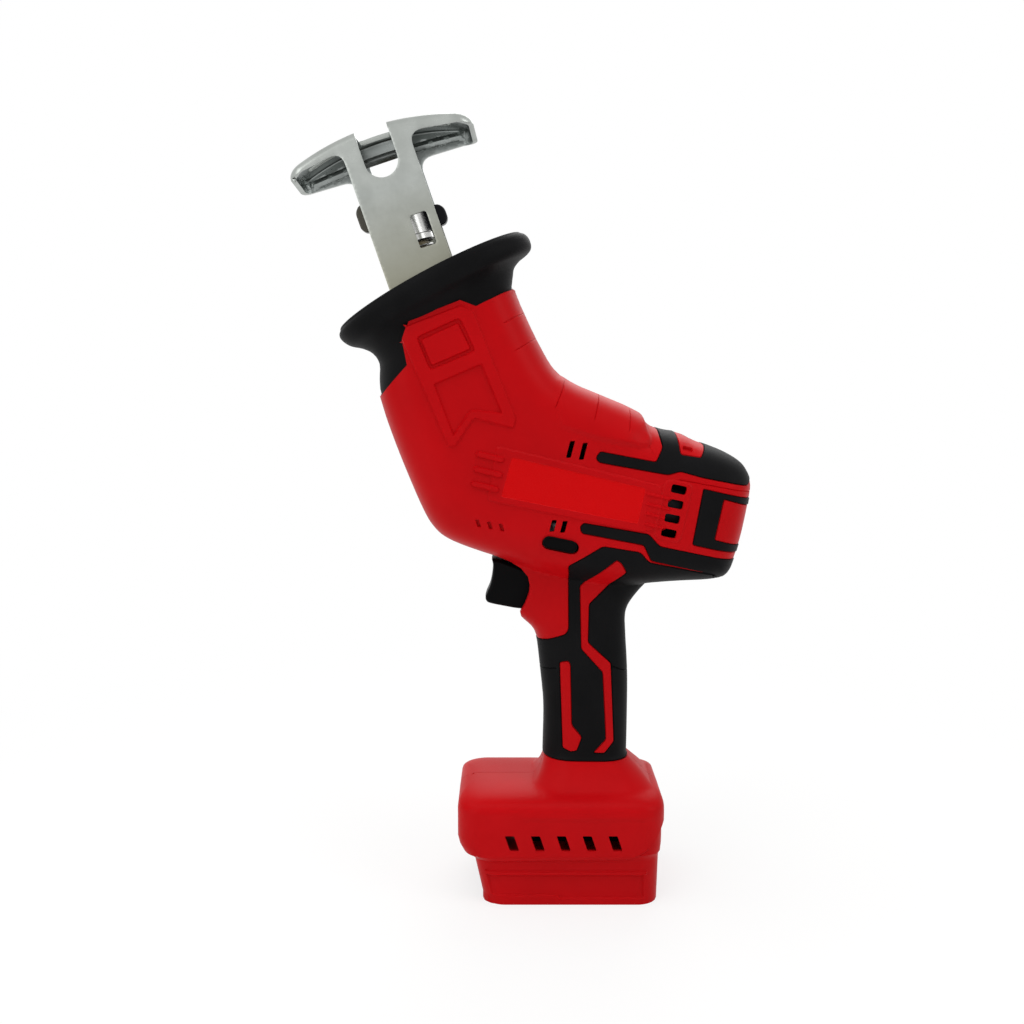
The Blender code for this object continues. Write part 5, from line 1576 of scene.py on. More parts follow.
    def _slot_wall(self, faces: Array, place: Array, side: Side) -> tuple[Array, Array]:
        """Carries the trigger slot's edge in to the slot's side wall.

        Args:
            faces: Triangles of the nylon.
            place: World points of the sheet.
            side: Which half.

        Returns:
            Triangles and points with those of the wall.
        """
        slot = {i for i, kind in self.sheet.edge_of.items() if kind is Edge.SLOT}
        ways = {(int(face[i - 1]), int(face[i])) for face in faces for i in range(3)}
        rim = [(a, b) for a, b in ways if (b, a) not in ways and a in slot and b in slot]
        number = {i: len(place) + k for k, i in enumerate(sorted({i for way in rim for i in way}))}
        feet = place[list(number)]
        feet[:, 1] = side.value * np.minimum(np.abs(feet[:, 1]), self.slot_half_width * MM)
        added = [face for a, b in rim for face in ((b, a, number[a]), (b, number[a], number[b]))]
        return np.vstack((faces, added)), np.vstack((place, feet))


@dataclass
class BatteryReceiver:
    """The inside of the battery foot: channel, rail grooves and back wall, one half in each shell."""

    half_width: float = 33.8
    front: float = -17.6
    rear: float = 70.2
    corner: float = 11.0
    heights: Point2 = (0.03, 31.0)

    def build(self) -> None:
        """Cuts the foot's inside out of a copy of each packed shell."""
        for side in Side:
            name = side.name.lower()
            core = self._core()
            piece = add_object(f"{name}_receiver", frame["nodes"][f"{name}_housing"].data.copy())
            self._dress(piece)
            clean(piece, 0.005, outward=False)
            boolean = piece.modifiers.new("core", "BOOLEAN")
            boolean.operation, boolean.solver, boolean.object = "INTERSECT", "EXACT", core
            apply_modifiers(piece, 25.0)
            bpy.data.objects.remove(core)
            self._dress(piece)
            settle(piece, "housing", "red_nylon")

    @staticmethod
    def _dress(piece: Piece) -> None:
        """Leaves nylon as a piece's only finish."""
        piece.data.materials.clear()
        piece.data.materials.append(RED_NYLON.material())

    def _core(self) -> Piece:
        """Makes a block that fills the foot inside its outer walls.

        Returns:
            The block, open at the front, so that the channel keeps its mouth.
        """
        outline = filleted(((self.front, -self.half_width), (self.rear, -self.half_width),
                            (self.rear, self.half_width), (self.front, self.half_width)), self.corner, steps=6)
        outline[:, 0] = np.where(outline[:, 0] < self.front + 0.01, self.front, outline[:, 0])
        return lofted("foot_core", [[SAW.place(x, y, z) for x, y in outline] for z in self.heights], RED_NYLON)


# ---------------- nose boot
@dataclass
class NoseBoot:
    """The rubber boot on the nose: a flared skirt with a bent rim, and a throat that closes round the shoe.

    Attributes:
        skirt: Front u and n, rear u and n, and half width, from under the shells out to the rim.
        neck: The same for the inside of the neck, which the shells' noses hold.
    """

    front_corner: Point2 = (-69.0, 255.0)
    rear_corner: Point2 = (-1.7, 308.2)
    skirt: tuple[tuple[float, float, float, float, float], ...] = (
        (-41.8, -7.0, 38.5, -7.0, 29.5), (-41.9, 0.2, 42.0, 0.2, 30.2), (-38.0, 6.5, 44.0, 2.6, 29.3),
        (-33.2, 12.5, 46.6, 5.2, 28.9), (-32.6, 18.5, 49.6, 7.9, 30.3), (-35.0, 23.5, 54.4, 9.2, 33.0),
        (-38.8, 28.0, 59.6, 9.3, 36.0), (-40.3, 31.5, 62.5, 10.6, 37.3), (-40.6, 34.0, 64.0, 14.0, 37.9),
        (-39.9, 35.9, 63.9, 17.0, 37.7), (-38.2, 37.0, 62.4, 19.2, 36.9),
    )
    neck: tuple[float, float, float, float, float] = (-33.6, 9.5, 44.8, 2.0, 28.2)
    wall: float = 3.2
    bend: float = 2.2
    rim_height: float = 1.1
    columns: int = 112
    squareness: float = 2.25
    throat_half: Point2 = (17.5, 17.6)
    throat_squareness: float = 8.0
    throat_depth: float = 11.0
    lining_rows: int = 24  # the lining ends above the throat plate

    def __post_init__(self) -> None:
        """Lays the boot's own frame on its two corners."""
        (x0, z0), (x1, z1) = self.front_corner, self.rear_corner
        self.centre = np.array(((x0 + x1) / 2, (z0 + z1) / 2))
        along = np.array((x1 - x0, z1 - z0))
        self.u_axis = along / np.linalg.norm(along)
        self.n_axis = np.array((-self.u_axis[1], self.u_axis[0]))

    def _turns(self) -> list[Point2]:
        """Cosine and sine of each column's angle."""
        angles = (2.0 * math.pi * i / self.columns for i in range(self.columns))
        return [(math.cos(angle), math.sin(angle)) for angle in angles]

    def _ring(self, row: Sequence[float], inset: float = 0.0) -> list[Point3]:
        """Lays out one section of the boot.

        Args:
            row: Front u and n, rear u and n, and half width.
            inset: How much smaller the section is all round, mm.

        Returns:
            Its (u, y, n) points.
        """
        front_u, front_n, rear_u, rear_n, half = row
        front_u, rear_u, half = front_u + inset, rear_u - inset, half - inset
        middle = ((front_u + rear_u) / 2, (front_n + rear_n) / 2)
        reach = ((rear_u - front_u) / 2, (rear_n - front_n) / 2)
        power = 2.0 / self.squareness
        ring = []
        for c, s in self._turns():
            along, beside = math.copysign(abs(c) ** power, c), math.copysign(abs(s) ** power, s)
            bulge = self.bend * (1.0 - along**2) * max(0.0, front_n) / self.skirt[-1][1]
            ring.append((middle[0] + reach[0] * along, half * beside, middle[1] + reach[1] * along + bulge))
        return ring

    def _world(self, u: float, y: float, n: float) -> Vector:
        """World point of boot coordinates."""
        x, z = self.centre + self.u_axis * u + self.n_axis * n
        return SAW.place(x, y, z)

    def _fine_rows(self) -> list[Array]:
        """Adds sections between the drawn ones, on a smooth curve through them.

        Returns:
            The sections, from the shells out to the rim.
        """
        rows = np.asarray(self.skirt, float)
        result = []
        for i in range(len(rows) - 1):
            before, start, end, after = rows[max(0, i - 1)], rows[i], rows[i + 1], rows[min(len(rows) - 1, i + 2)]
            for t in (k / 3 for k in range(3)):
                result.append(0.5 * (2 * start + (end - before) * t + (2 * before - 5 * start + 4 * end - after) * t**2
                                     + (3 * start - before - 3 * end + after) * t**3))
        return [*result, rows[-1]]

    def _throat_ring(self, depth: float, gap: float = 0.0) -> list[Point3]:
        """Lays out the opening round the shoe, a rounded rectangle in the blade's frame.

        Args:
            depth: Its n.
            gap: How much larger it is all round, mm.

        Returns:
            Its (u, y, n) points.
        """
        p_half, y_half = self.throat_half[0] + gap, self.throat_half[1] + gap
        power = self.throat_squareness
        way = np.array((SAW.blade.x, SAW.blade.z))
        ring = []
        for c, s in self._turns():
            scale = (abs(c) ** power + abs(s) ** power) ** (-1 / power)
            p, y = p_half * c * scale, y_half * s * scale
            base = SAW.on_blade(p, y, 100.0) - SAW.place(0.0, 0.0, 0.0)
            flat = np.array((base.x, base.z)) / MM - self.centre
            spot = flat + way * ((depth - flat @ self.n_axis) / (way @ self.n_axis))
            ring.append((float(spot @ self.u_axis), y, depth))
        return ring

    def build(self) -> None:
        """Lofts skirt, rim, lining and throat as one closed wall."""
        rows, depth = self._fine_rows(), self.throat_depth
        rounding = []
        for turn in (math.pi * k / 6 for k in range(1, 6)):
            lift = np.array((0.0, 1.0, 0.0, 1.0, 0.0)) * self.rim_height * math.sin(turn)
            rounding.append(self._ring(rows[-1] + lift, self.wall * (1.0 - math.cos(turn)) / 2))
        lining = [self._ring(row, self.wall) for row in rows[::-1][:self.lining_rows]]
        # how far each ring of the throat lies above the plate's middle, and how much wider it is
        throat = [self._throat_ring(depth + rise, gap)
                  for rise, gap in ((3.0, 4.0), (2.2, 0.8), (1.4, 0.0), (-1.2, 0.0), (-1.3, 1.0))]
        back = [self._ring(row, self.wall) for row in (self.neck, self.skirt[1], self.skirt[0])]
        rings = [*(self._ring(row) for row in rows), *rounding, *lining, *throat, *back]
        world = [[self._world(*point) for point in ring] for ring in rings]
        piece = lofted("nose_boot_skin", world, BLACK_RUBBER, looped=True, sharp_angle=40.0, merge_mm=0.01)
        settle(piece, "housing", "black_rubber", "nose_boot")


# ---------------- shoe
@dataclass
class StampedShoe:
    """The shoe: one steel blank, drawn to a shallow tray with two long stems and a blade notch.

    On the finished shoe p runs across the blade and b along it; the flat blank has p and t, which crosses it.

    Attributes:
        ends: Places of the tray's end walls.
        near_lip: Lower edge of the near wall at its two corners; near_lip_root is the same beside the stem.
        far_lip: Lower edge of the far wall; far_lip_root is the same beside the stem.
        left_wall: Depth of the left end wall at the near and the far corner; right_wall is that of the right one.
        stem_margin: How far past a stem the bend stays straight.
    """

    half_width: float = 17.0
    ends: Point2 = (-45.2, 47.8)
    bend: float = 3.2
    corner: float = 7.5
    sheet: float = 2.4
    crown: float = 176.0
    crown_radius: float = 130.0
    crown_shift: float = 2.0
    stem_half_width: float = 16.9
    stem_start: float = 40.0
    stem_margin: float = 9.0
    stem_fillet: float = 7.0
    notch_half_width: float = 8.2
    notch_floor: float = 151.0
    near_lip: Point2 = (166.9, 164.4)
    near_lip_root: Point2 = (169.5, 168.0)
    far_lip: Point2 = (161.1, 158.5)
    far_lip_root: Point2 = (160.0, 159.5)
    left_wall: Point2 = (3.3, 6.4)
    right_wall: Point2 = (4.2, 8.6)
    bead_height: float = 165.8
    bead_rise: float = 0.9
    bead_half_width: float = 0.9
    tray_slots: Point2 = (-27.7, 28.8)
    screw_height: float = 58.0
    screw_radius: float = 2.3
    spacing: float = 1.5

    def _crown(self, p: float) -> float:
        """Height of the foot plate along the blade axis, at a place across it."""
        return self.crown - self.crown_radius + math.sqrt(self.crown_radius**2 - (p + self.crown_shift) ** 2)

    def _bead(self, p: float) -> float:
        """Height of the far wall's stiffening bead along the blade axis."""
        return self.bead_height - 0.0012 * p * p - 0.012 * p

    def _unfold(self, p: float, b: float, side: int) -> Point2:
        """Finds the blank's point that becomes a point on a side wall.

        Args:
            p: Place across the blade axis.
            b: Place along it.
            side: -1 for the near wall, 1 for the far one.

        Returns:
            Its p and t.
        """
        depth = self._crown(p) - b
        flat = self.half_width - self.bend
        return p, side * (flat + self.bend * math.pi / 2 + depth - self.bend)

    def _fold(self, p: float, t: float) -> Vector:
        """Folds a point of the blank.

        Args:
            p: Place along the tray.
            t: Place across the blank.

        Returns:
            Its world point.
        """
        low, high = self.ends[0] + self.bend, self.ends[1] - self.bend
        half = self.half_width - self.bend
        radius = self.corner - self.bend
        core_p = min(max(p, low + radius), high - radius)
        core_t = min(max(t, -half + radius), half - radius)
        if abs(p) <= self.stem_half_width + self.stem_margin and abs(t) > half:
            core_p = p
        away = Vector((p - core_p, t - core_t))
        distance = away.length
        outside = distance - radius
        if outside <= 0.0 or distance < 1e-6:
            return SAW.on_blade(p, t, self._crown(p))
        quarter = self.bend * math.pi / 2
        if outside < quarter:
            turn = outside / self.bend
            level, drop = self.bend * math.sin(turn), self.bend * (1.0 - math.cos(turn))
        else:
            level, drop = self.bend, self.bend + outside - quarter
        way = away / distance
        q, y = core_p + way.x * (radius + level), core_t + way.y * (radius + level)
        if t > half:
            # the far wall's bead is pressed inwards
            ridge = self._crown(p) - drop - self._bead(p)
            y -= self.bead_rise * math.exp(-(ridge / self.bead_half_width) ** 2)
        return SAW.on_blade(q, y, self._crown(min(max(q, self.ends[0]), self.ends[1])) - drop)

    def _wall_line(self, points: Outline, side: int) -> list[Point2]:
        """Unfolds a line on a side wall, with points close enough to follow the crown.

        Args:
            points: The line's places as p and b.
            side: -1 for the near wall, 1 for the far one.

        Returns:
            The line on the blank.
        """
        return [self._unfold(p, b, side) for p, b in resampled(points, 2.0, closed=False)]

    def _corner_arc(self, end: int, side: int, first: float, last: float, steps: int = 9) -> list[Point2]:
        """Lays out the blank's edge round a corner, starting on the side wall.

        Args:
            end: -1 for the left end, 1 for the right one.
            side: -1 for the near side, 1 for the far one.
            first: Depth of the wall at the start.
            last: Depth of the wall at the end.
            steps: Pieces of the arc.

        Returns:
            The edge on the blank.
        """
        low, high = self.ends
        radius = self.corner - self.bend
        p = high - self.corner if end > 0 else low + self.corner
        t = side * (self.half_width - self.corner)
        quarter = self.bend * math.pi / 2
        arc = []
        for share in (k / steps for k in range(steps + 1)):
            turn = math.pi / 2 * share
            reach = radius + quarter + first + (last - first) * share - self.bend
            arc.append((p + end * reach * math.sin(turn), t + side * reach * math.cos(turn)))
        return arc

    def _outline(self) -> Array:
        """Draws the blank once round, from the near lip's low end.

        Returns:
            Its outline.
        """
        stem, start = self.stem_half_width, self.stem_start
        low, high = self.ends[0] + self.corner, self.ends[1] - self.corner
        near_low, near_high = self.near_lip
        far_low, far_high = self.far_lip
        depth = {(end, side): self._crown(p) - lip for end, side, p, lip in (
            (-1, -1, low, near_low), (1, -1, high, near_high), (1, 1, high, far_high), (-1, 1, low, far_low))}
        near, far = (self._wall_line(filleted(line, self.stem_fillet, closed=False, steps=6), side)
                     for side, line in ((-1, [(low, near_low), (-stem, self.near_lip_root[0]), (-stem, start),
                                              (stem, start), (stem, self.near_lip_root[1]), (high, near_high)]),
                                        (1, [(high, far_high), (stem, self.far_lip_root[1]), (stem, start),
                                             (-stem, start), (-stem, self.far_lip_root[0]), (low, far_low)])))
        right = [*self._corner_arc(1, -1, depth[1, -1], self.right_wall[0]),
                 *reversed(self._corner_arc(1, 1, depth[1, 1], self.right_wall[1]))]
        left = [*self._corner_arc(-1, 1, depth[-1, 1], self.left_wall[1]),
                *reversed(self._corner_arc(-1, -1, depth[-1, -1], self.left_wall[0]))]
        return np.asarray([*near[:-1], *right, *far[1:-1], *left[:-1]])

    def _openings(self) -> list[Array]:
        """Draws all that is cut out of the blank.

        Returns:
            Blade notch, the far stem's window, the near stem's window, tray slots and screw holes.
        """
        w, floor = self.notch_half_width, self.notch_floor
        round_floor = [(w * math.cos(a), floor + w - w * math.sin(a)) for a in np.linspace(0.0, math.pi, 15)]
        near = self._wall_line([(w, 169.0), *round_floor, (-w, 169.0)], -1)
        notch = [*near, (-w, -11.0), (-w, 7.0), (-w + 1.5, 8.5), (w - 1.5, 8.5), (w, 7.0), (w, -11.0)]
        far = [(-w, 164.0), *reversed(round_floor), (w, 164.0)]
        window = filleted([(4.0, 113.5), (12.5, 113.5), (12.5, 130.0), (4.0, 130.0)], 1.4)
        slots = [stadium((p, -0.5), 9.8, 3.4, 0.0, 8) for p in self.tray_slots]
        circle = [(self.screw_radius * math.cos(a), self.screw_height + self.screw_radius * math.sin(a))
                  for a in np.linspace(0, 2 * math.pi, 16, False)]
        openings = [notch, [self._unfold(p, b, 1) for p, b in far], [self._unfold(p, b, -1) for p, b in window], *slots,
                    *([self._unfold(p, b, side) for p, b in circle] for side in (-1, 1))]
        return [np.asarray(opening) for opening in openings]

    def _bend_lines(self) -> list[Line]:
        """Lays lines round the tray, close enough to carry its bends.

        Returns:
            Closed lines on the blank.
        """
        half, quarter = self.half_width - self.bend, self.bend * math.pi / 2
        low, high = self.ends[0] + self.bend, self.ends[1] - self.bend
        lines = []
        for out in (quarter * k / 5 for k in range(6)):
            core = filleted([(low - out, -half - out), (high + out, -half - out), (high + out, half + out),
                             (low - out, half + out)], self.corner - self.bend + out, steps=6)
            lines.append((resampled(core, self.spacing), True))
        return lines

    def _bead_lines(self) -> list[Line]:
        """Lays lines along the far wall's bead.

        Returns:
            Open lines on the blank.
        """
        along = np.arange(self.ends[0] + self.corner, self.ends[1] - self.corner, 1.2)
        return [(np.array([self._unfold(p, self._bead(p) + above, 1) for p in along]), False)
                for above in (-1.4, -0.7, 0.0, 0.7, 1.4)]

    def build(self) -> None:
        """Meshes the blank, folds it and gives it its thickness."""
        outline = resampled(self._outline(), self.spacing)
        openings = [resampled(opening, 1.0) for opening in self._openings()]
        lines = [*((opening, True) for opening in openings), *self._bend_lines(), *self._bead_lines()]
        points, faces, centres = triangulated(outline, lines, self.spacing, 0.5)
        keep = within(centres, outline)
        for opening in openings:
            keep &= ~within(centres, opening)
        piece = make_piece("shoe_yoke", [self._fold(*point) for point in points], faces[keep], SHOE_STEEL)
        clean(piece, 0.01)
        if sum(polygon.normal.dot(SAW.blade) * polygon.area for polygon in piece.data.polygons) < 0:
            piece.data.flip_normals()
        # the wall's inner side gets the darker finish, which is painted shade
        add_wall(piece, self.sheet, SHOE_INSIDE_PAINTED_SHADE)
        apply_modifiers(piece, 35.0)
        add_bevel(piece, 0.35, 2, 50.0)
        apply_modifiers(piece, 35.0)
        settle(piece, "housing", "shoe_steel", "shoe")


# ---------------- blade clamp
@dataclass
class ClampSleeve:
    """The twist sleeve of the blade clamp, with a finger lug on each side."""

    radius: float = 11.6
    bore: float = 8.9
    start: float = 118.0
    end: float = 141.5
    lug_reach: float = 21.3
    lug_half_widths: Point2 = (6.9, 5.2)
    lug_half_thickness: float = 3.1
    lug_heights: Point2 = (138.0, 127.9)
    ridges: int = 36
    ridge_start: float = 132.0
    columns: int = 72

    def build(self) -> None:
        """Turns the sleeve, adds its grip ridges and the two lugs."""
        radius, bore, start, end = self.radius, self.bore, self.start, self.end
        profile = [(bore, start + 0.6), (bore + 0.6, start), (radius - 0.8, start), (radius, start + 0.8),
                   (radius, start + 3.4), (radius - 0.5, start + 3.9), (radius - 0.5, end - 3.9), (radius, end - 3.4),
                   (radius, end - 0.8), (radius - 0.8, end), (bore + 0.6, end), (bore, end - 0.6)]
        angles = [2.0 * math.pi * i / self.columns for i in range(self.columns)]
        rings = [[SAW.on_blade(reach * math.cos(a), reach * math.sin(a), b) for a in angles] for reach, b in profile]
        sleeve = lofted("twist_sleeve", rings, BRIGHT_STEEL, looped=True)
        settle(sleeve, "clamp_sleeve", "bright_steel", "clamp_sleeve")
        ridges = ridge_ring("sleeve_ridges", radius - 0.55, (self.ridge_start, end - 4.2), self.ridges, 0.42,
                            BRIGHT_STEEL)
        settle(ridges, "clamp_sleeve", "bright_steel")
        for name, side, place, finish in (("left_lug", -1, 0, OILED_STEEL), ("right_lug", 1, 1, BLACKENED_STEEL)):
            lug = self._lug(name, side, self.lug_heights[place], self.lug_half_widths[place], finish)
            settle(lug, "clamp_sleeve", "bronzed_steel")

    def _lug(self, name: str, side: int, middle: float, half: float, finish: Finish) -> Piece:
        """Makes a lug with a rounded, slightly hooked tip.

        Args:
            name: Piece name.
            side: -1 or 1, the way it points across the blade.
            middle: Height of its middle along the blade axis, mm.
            half: Half its height, mm.
            finish: Its surface finish.

        Returns:
            The lug.
        """
        root, tip, thick = self.radius - 1.6, self.lug_reach, self.lug_half_thickness
        foot = min(self.end, middle + half) - 0.6
        outline = filleted([(root, middle - half), (tip - 2.0, middle - half), (tip, middle - half + 2.4),
                            (tip, middle + half - 3.0), (tip - 2.6, middle + half), (root + 5.0, middle + half),
                            (root, foot)], 2.2, steps=5)
        levels = ((-thick, 0.5), (-thick + 0.45, 0.0), (thick - 0.45, 0.0), (thick, 0.5))
        rings = [[SAW.on_blade(side * p, y, b) for p, b in drawn_in(outline, inset)] for y, inset in levels]
        return lofted(name, rings, finish)


# ---------------- repeated pieces
@dataclass
class RepeatTree:
    """A geometry tree that copies one small shape onto points, with named inputs."""

    name: str
    tree: bpy.types.NodeTree = field(init=False)

    def __post_init__(self) -> None:
        """Makes an empty tree with its geometry output."""
        self.tree = bpy.data.node_groups.new(self.name, "GeometryNodeTree")
        for way in ("INPUT", "OUTPUT"):
            self.tree.interface.new_socket("Geometry", in_out=way, socket_type="NodeSocketGeometry")

    def number(self, name: str, kind: str = "NodeSocketFloat") -> None:
        """Adds a named input."""
        self.tree.interface.new_socket(name, in_out="INPUT", socket_type=kind)

    def finish(self, geometry: Socket, material: bpy.types.Material) -> None:
        """Ends the tree in real geometry with its material.

        Args:
            geometry: The copies.
            material: Their material.
        """
        real = add_node(self.tree, "GeometryNodeRealizeInstances", links={0: geometry})
        dressed = add_node(self.tree, "GeometryNodeSetMaterial", {"Material": material}, {"Geometry": real.outputs[0]})
        output = self.tree.nodes.new("NodeGroupOutput")
        self.tree.links.new(dressed.outputs[0], output.inputs[0])

    def run(self, name: str, values: dict[str, object]) -> Piece:
        """Evaluates the tree on an empty mesh.

        Args:
            name: Name of the piece.
            values: Input values by name.

        Returns:
            A plain mesh object.
        """
        piece = add_object(name, bpy.data.meshes.new(name))
        modifier = piece.modifiers.new("repeat", "NODES")
        modifier.node_group = self.tree
        for item in self.tree.interface.items_tree:
            if item.item_type == "SOCKET" and item.in_out == "INPUT" and item.name in values:
                modifier[item.identifier] = values[item.name]
        apply_modifiers(piece)
        return piece


def ridge_ring(name: str, radius: float, reach: Point2, count: int, ridge_radius: float, finish: Finish) -> Piece:
    """Fine ridges round the blade axis, made by a geometry tree.

    Args:
        name: Name of the piece.
        radius: Distance of the ridges from the blade axis, mm.
        reach: Start and end along the blade axis, mm.
        count: Number of ridges.
        ridge_radius: Radius of one ridge, mm.
        finish: Their finish.

    Returns:
        The ridges as one mesh.
    """
    repeat = RepeatTree("grip_ridges")
    repeat.number("Count", "NodeSocketInt")
    for length in ("Ring Radius", "Length", "Ridge Radius"):
        repeat.number(length)
    for vector in ("Centre", "Tilt"):
        repeat.number(vector, "NodeSocketVector")
    tree = repeat.tree
    inputs = tree.nodes.new("NodeGroupInput").outputs
    circle = add_node(tree, "GeometryNodeMeshCircle",
                      links={"Vertices": inputs["Count"], "Radius": inputs["Ring Radius"]})
    ridge = add_node(tree, "GeometryNodeMeshCylinder", {"Vertices": 8},
                     {"Radius": inputs["Ridge Radius"], "Depth": inputs["Length"]})
    copies = add_node(tree, "GeometryNodeInstanceOnPoints",
                      links={"Points": circle.outputs[0], "Instance": ridge.outputs[0]})
    placed = add_node(tree, "GeometryNodeTransform",
                      links={"Geometry": copies.outputs[0], "Translation": inputs["Centre"],
                             "Rotation": inputs["Tilt"]})
    repeat.finish(placed.outputs[0], finish.material())
    start, end = reach
    centre = SAW.on_blade(0.0, 0.0, (start + end) / 2)
    tilt = SAW.blade.to_track_quat("Z", "Y").to_euler()
    return repeat.run(name, {"Count": count, "Ring Radius": radius * MM, "Length": (end - start) * MM,
                             "Ridge Radius": ridge_radius * MM, "Centre": tuple(centre), "Tilt": tuple(tilt)})


@dataclass
class HousingScrews:
    """The screws that hold the shells together, driven from the right side."""

    drawing: HousingDrawing = field(default_factory=HousingDrawing)
    head_radius: float = 3.1
    head_height: float = 2.3
    shank_radius: float = 1.5
    depth: float = 11.0
    socket_radius: float = 1.55
    socket_depth: float = 1.3
    lobes: int = 6
    lobe_share: float = 0.17
    lift: float = 0.3
    columns: int = 48

    def build(self) -> None:
        """Copies one screw to each of its places."""
        points = bpy.data.meshes.new("screw_places")
        points.from_pydata([tuple(SAW.place(x, seat + self.lift, z)) for x, z, seat in self.drawing.screws], [], [])
        holder = add_object("screw_places", points)
        screw = self._screw()
        repeat = RepeatTree("screws")
        for shape in ("Places", "Screw"):
            repeat.number(shape, "NodeSocketObject")
        repeat.number("Size")
        tree = repeat.tree
        inputs = tree.nodes.new("NodeGroupInput").outputs
        places = add_node(tree, "GeometryNodeObjectInfo", links={"Object": inputs["Places"]})
        shape = add_node(tree, "GeometryNodeObjectInfo", links={"Object": inputs["Screw"]})
        scale = add_node(tree, "ShaderNodeCombineXYZ", links={i: inputs["Size"] for i in range(3)})
        copies = add_node(tree, "GeometryNodeInstanceOnPoints",
                          links={"Points": places.outputs["Geometry"], "Instance": shape.outputs["Geometry"],
                                 "Scale": scale.outputs[0]})
        repeat.finish(copies.outputs[0], BLACKENED_STEEL.material())
        piece = repeat.run("housing_screws", {"Places": holder, "Screw": screw, "Size": 1.0})
        bpy.data.objects.remove(holder)
        bpy.data.objects.remove(screw)
        names = [f"body_screw_{i}" for i in range(1, 7)] + ["handle_screw_1", "handle_screw_2"]
        settle(piece, "housing", "bright_steel", *names)

    def _screw(self) -> Piece:
        """Makes one pan-head screw with a lobed socket, pointing to the right side.

        Returns:
            The screw, standing on the origin.
        """
        head, height, socket = self.head_radius, self.head_height, self.socket_radius
        angles = [2.0 * math.pi * i / self.columns for i in range(self.columns)]
        profile = [(self.shank_radius, -self.depth), (self.shank_radius, 0.0), (head - 0.2, 0.0), (head, 0.25),
                   (head, height - 0.8), (head - 0.35, height - 0.25), (head - 0.9, height), (socket + 0.15, height)]
        lobed = [socket * (1.0 - self.lobe_share * (0.5 + 0.5 * math.cos(self.lobes * a))) for a in angles]
        rows = [*(([radius] * self.columns, y) for radius, y in profile),
                *((lobed, y) for y in (height - 0.12, height - self.socket_depth))]
        rings = [[(radius * MM * math.cos(a), y * MM, radius * MM * math.sin(a)) for radius, a in zip(radii, angles)]
                 for radii, y in rows]
        return lofted("screw_shape", rings, BLACKENED_STEEL, merge_mm=0.0005)


# ---------------- controls
@dataclass
class Controls:
    """Trigger and lock button."""

    trigger_outline: Places = (
        (-13.2, 173.6), (-12.2, 170), (-12.4, 166), (-13.0, 162), (-14.0, 158), (-15.6, 154.6), (-16.3, 152.6),
        (-16.1, 150.6), (-14.6, 149.3), (-8, 147.9), (1.6, 146.2), (11.6, 146.2), (13.0, 147.5), (13.2, 162.5),
        (2, 168.5),
    )
    trigger_half_width: float = 8.5
    button_centre: Point2 = (20.9, 183.4)
    button_half: Point2 = (8.5, 3.0)
    button_lean: float = -12.0
    button_reach: float = 32.5

    def build(self) -> None:
        """Makes both controls."""
        self._trigger()
        self._lock_button()

    def _trigger(self) -> None:
        """Makes a moulded lever with a hollow front and soft edges."""
        outline = smoothed(self.trigger_outline, 2)
        rings = []
        # the front is crowned across the width, so the outline shrinks a little towards the sides
        for y in (-1.0, -0.985, -0.94, -0.86, -0.7, -0.4, 0.0, 0.4, 0.7, 0.86, 0.94, 0.985, 1.0):
            share = abs(y)
            inset = 1.5 * max(0.0, (share - 0.78) / 0.22) ** 2.4 + 0.25 * share
            rings.append([SAW.place(x, y * self.trigger_half_width, z) for x, z in drawn_in(outline, inset)])
        piece = lofted("trigger_lever", rings, BLACK_NYLON, sharp_angle=45.0)
        settle(piece, "trigger", "black_nylon", "trigger")

    def _lock_button(self) -> None:
        """Makes a cross bolt with stadium ends."""
        (x, z), (length, height), reach = self.button_centre, self.button_half, self.button_reach
        outline = stadium((0.0, 0.0), length, height, self.button_lean, 8)
        levels = ((-reach + 0.35, 0.75), (-reach, 0.55), (-reach + 0.12, 0.25), (-reach + 0.45, 0.0),
                  (reach - 0.45, 0.0), (reach - 0.12, 0.25), (reach, 0.55), (reach - 0.35, 0.75))
        rings = [[SAW.place(x + a * (1.0 - inset / length), y, z + b * (1.0 - inset / height)) for a, b in outline]
                 for y, inset in levels]
        piece = lofted("lock_bolt", rings, BLACK_NYLON)
        settle(piece, "lock_button", "black_nylon", "lock_button")


# ---------------- carried-over nodes
def dress_packed_nodes() -> None:
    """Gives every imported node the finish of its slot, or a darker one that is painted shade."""
    for name, node in frame["nodes"].items():
        for place in node.material_slots:
            slot = place.material.name.split(".")[0]
            # the motor can's darker finish is painted shade inside the shells
            place.material = PAINTED_SHADE_FINISHES.get(name, SLOT_FINISHES[slot]).material()
        LOG.info("dressed %s", name)


# ---------------- studio
def seen_directly(tree: Tree) -> Socket:
    """Tells light that is seen, mirrored or seen through from light that bounces.

    Args:
        tree: Shader tree.

    Returns:
        1 for rays that the eye, a mirror or glass sends out, 0 for the others.
    """
    path = add_node(tree, "ShaderNodeLightPath")
    seen = path.outputs["Is Camera Ray"]
    for ray in ("Is Glossy Ray", "Is Transmission Ray"):
        seen = add_node(tree, "ShaderNodeMath", {"operation": "MAXIMUM"}, {0: seen, 1: path.outputs[ray]}).outputs[0]
    return seen


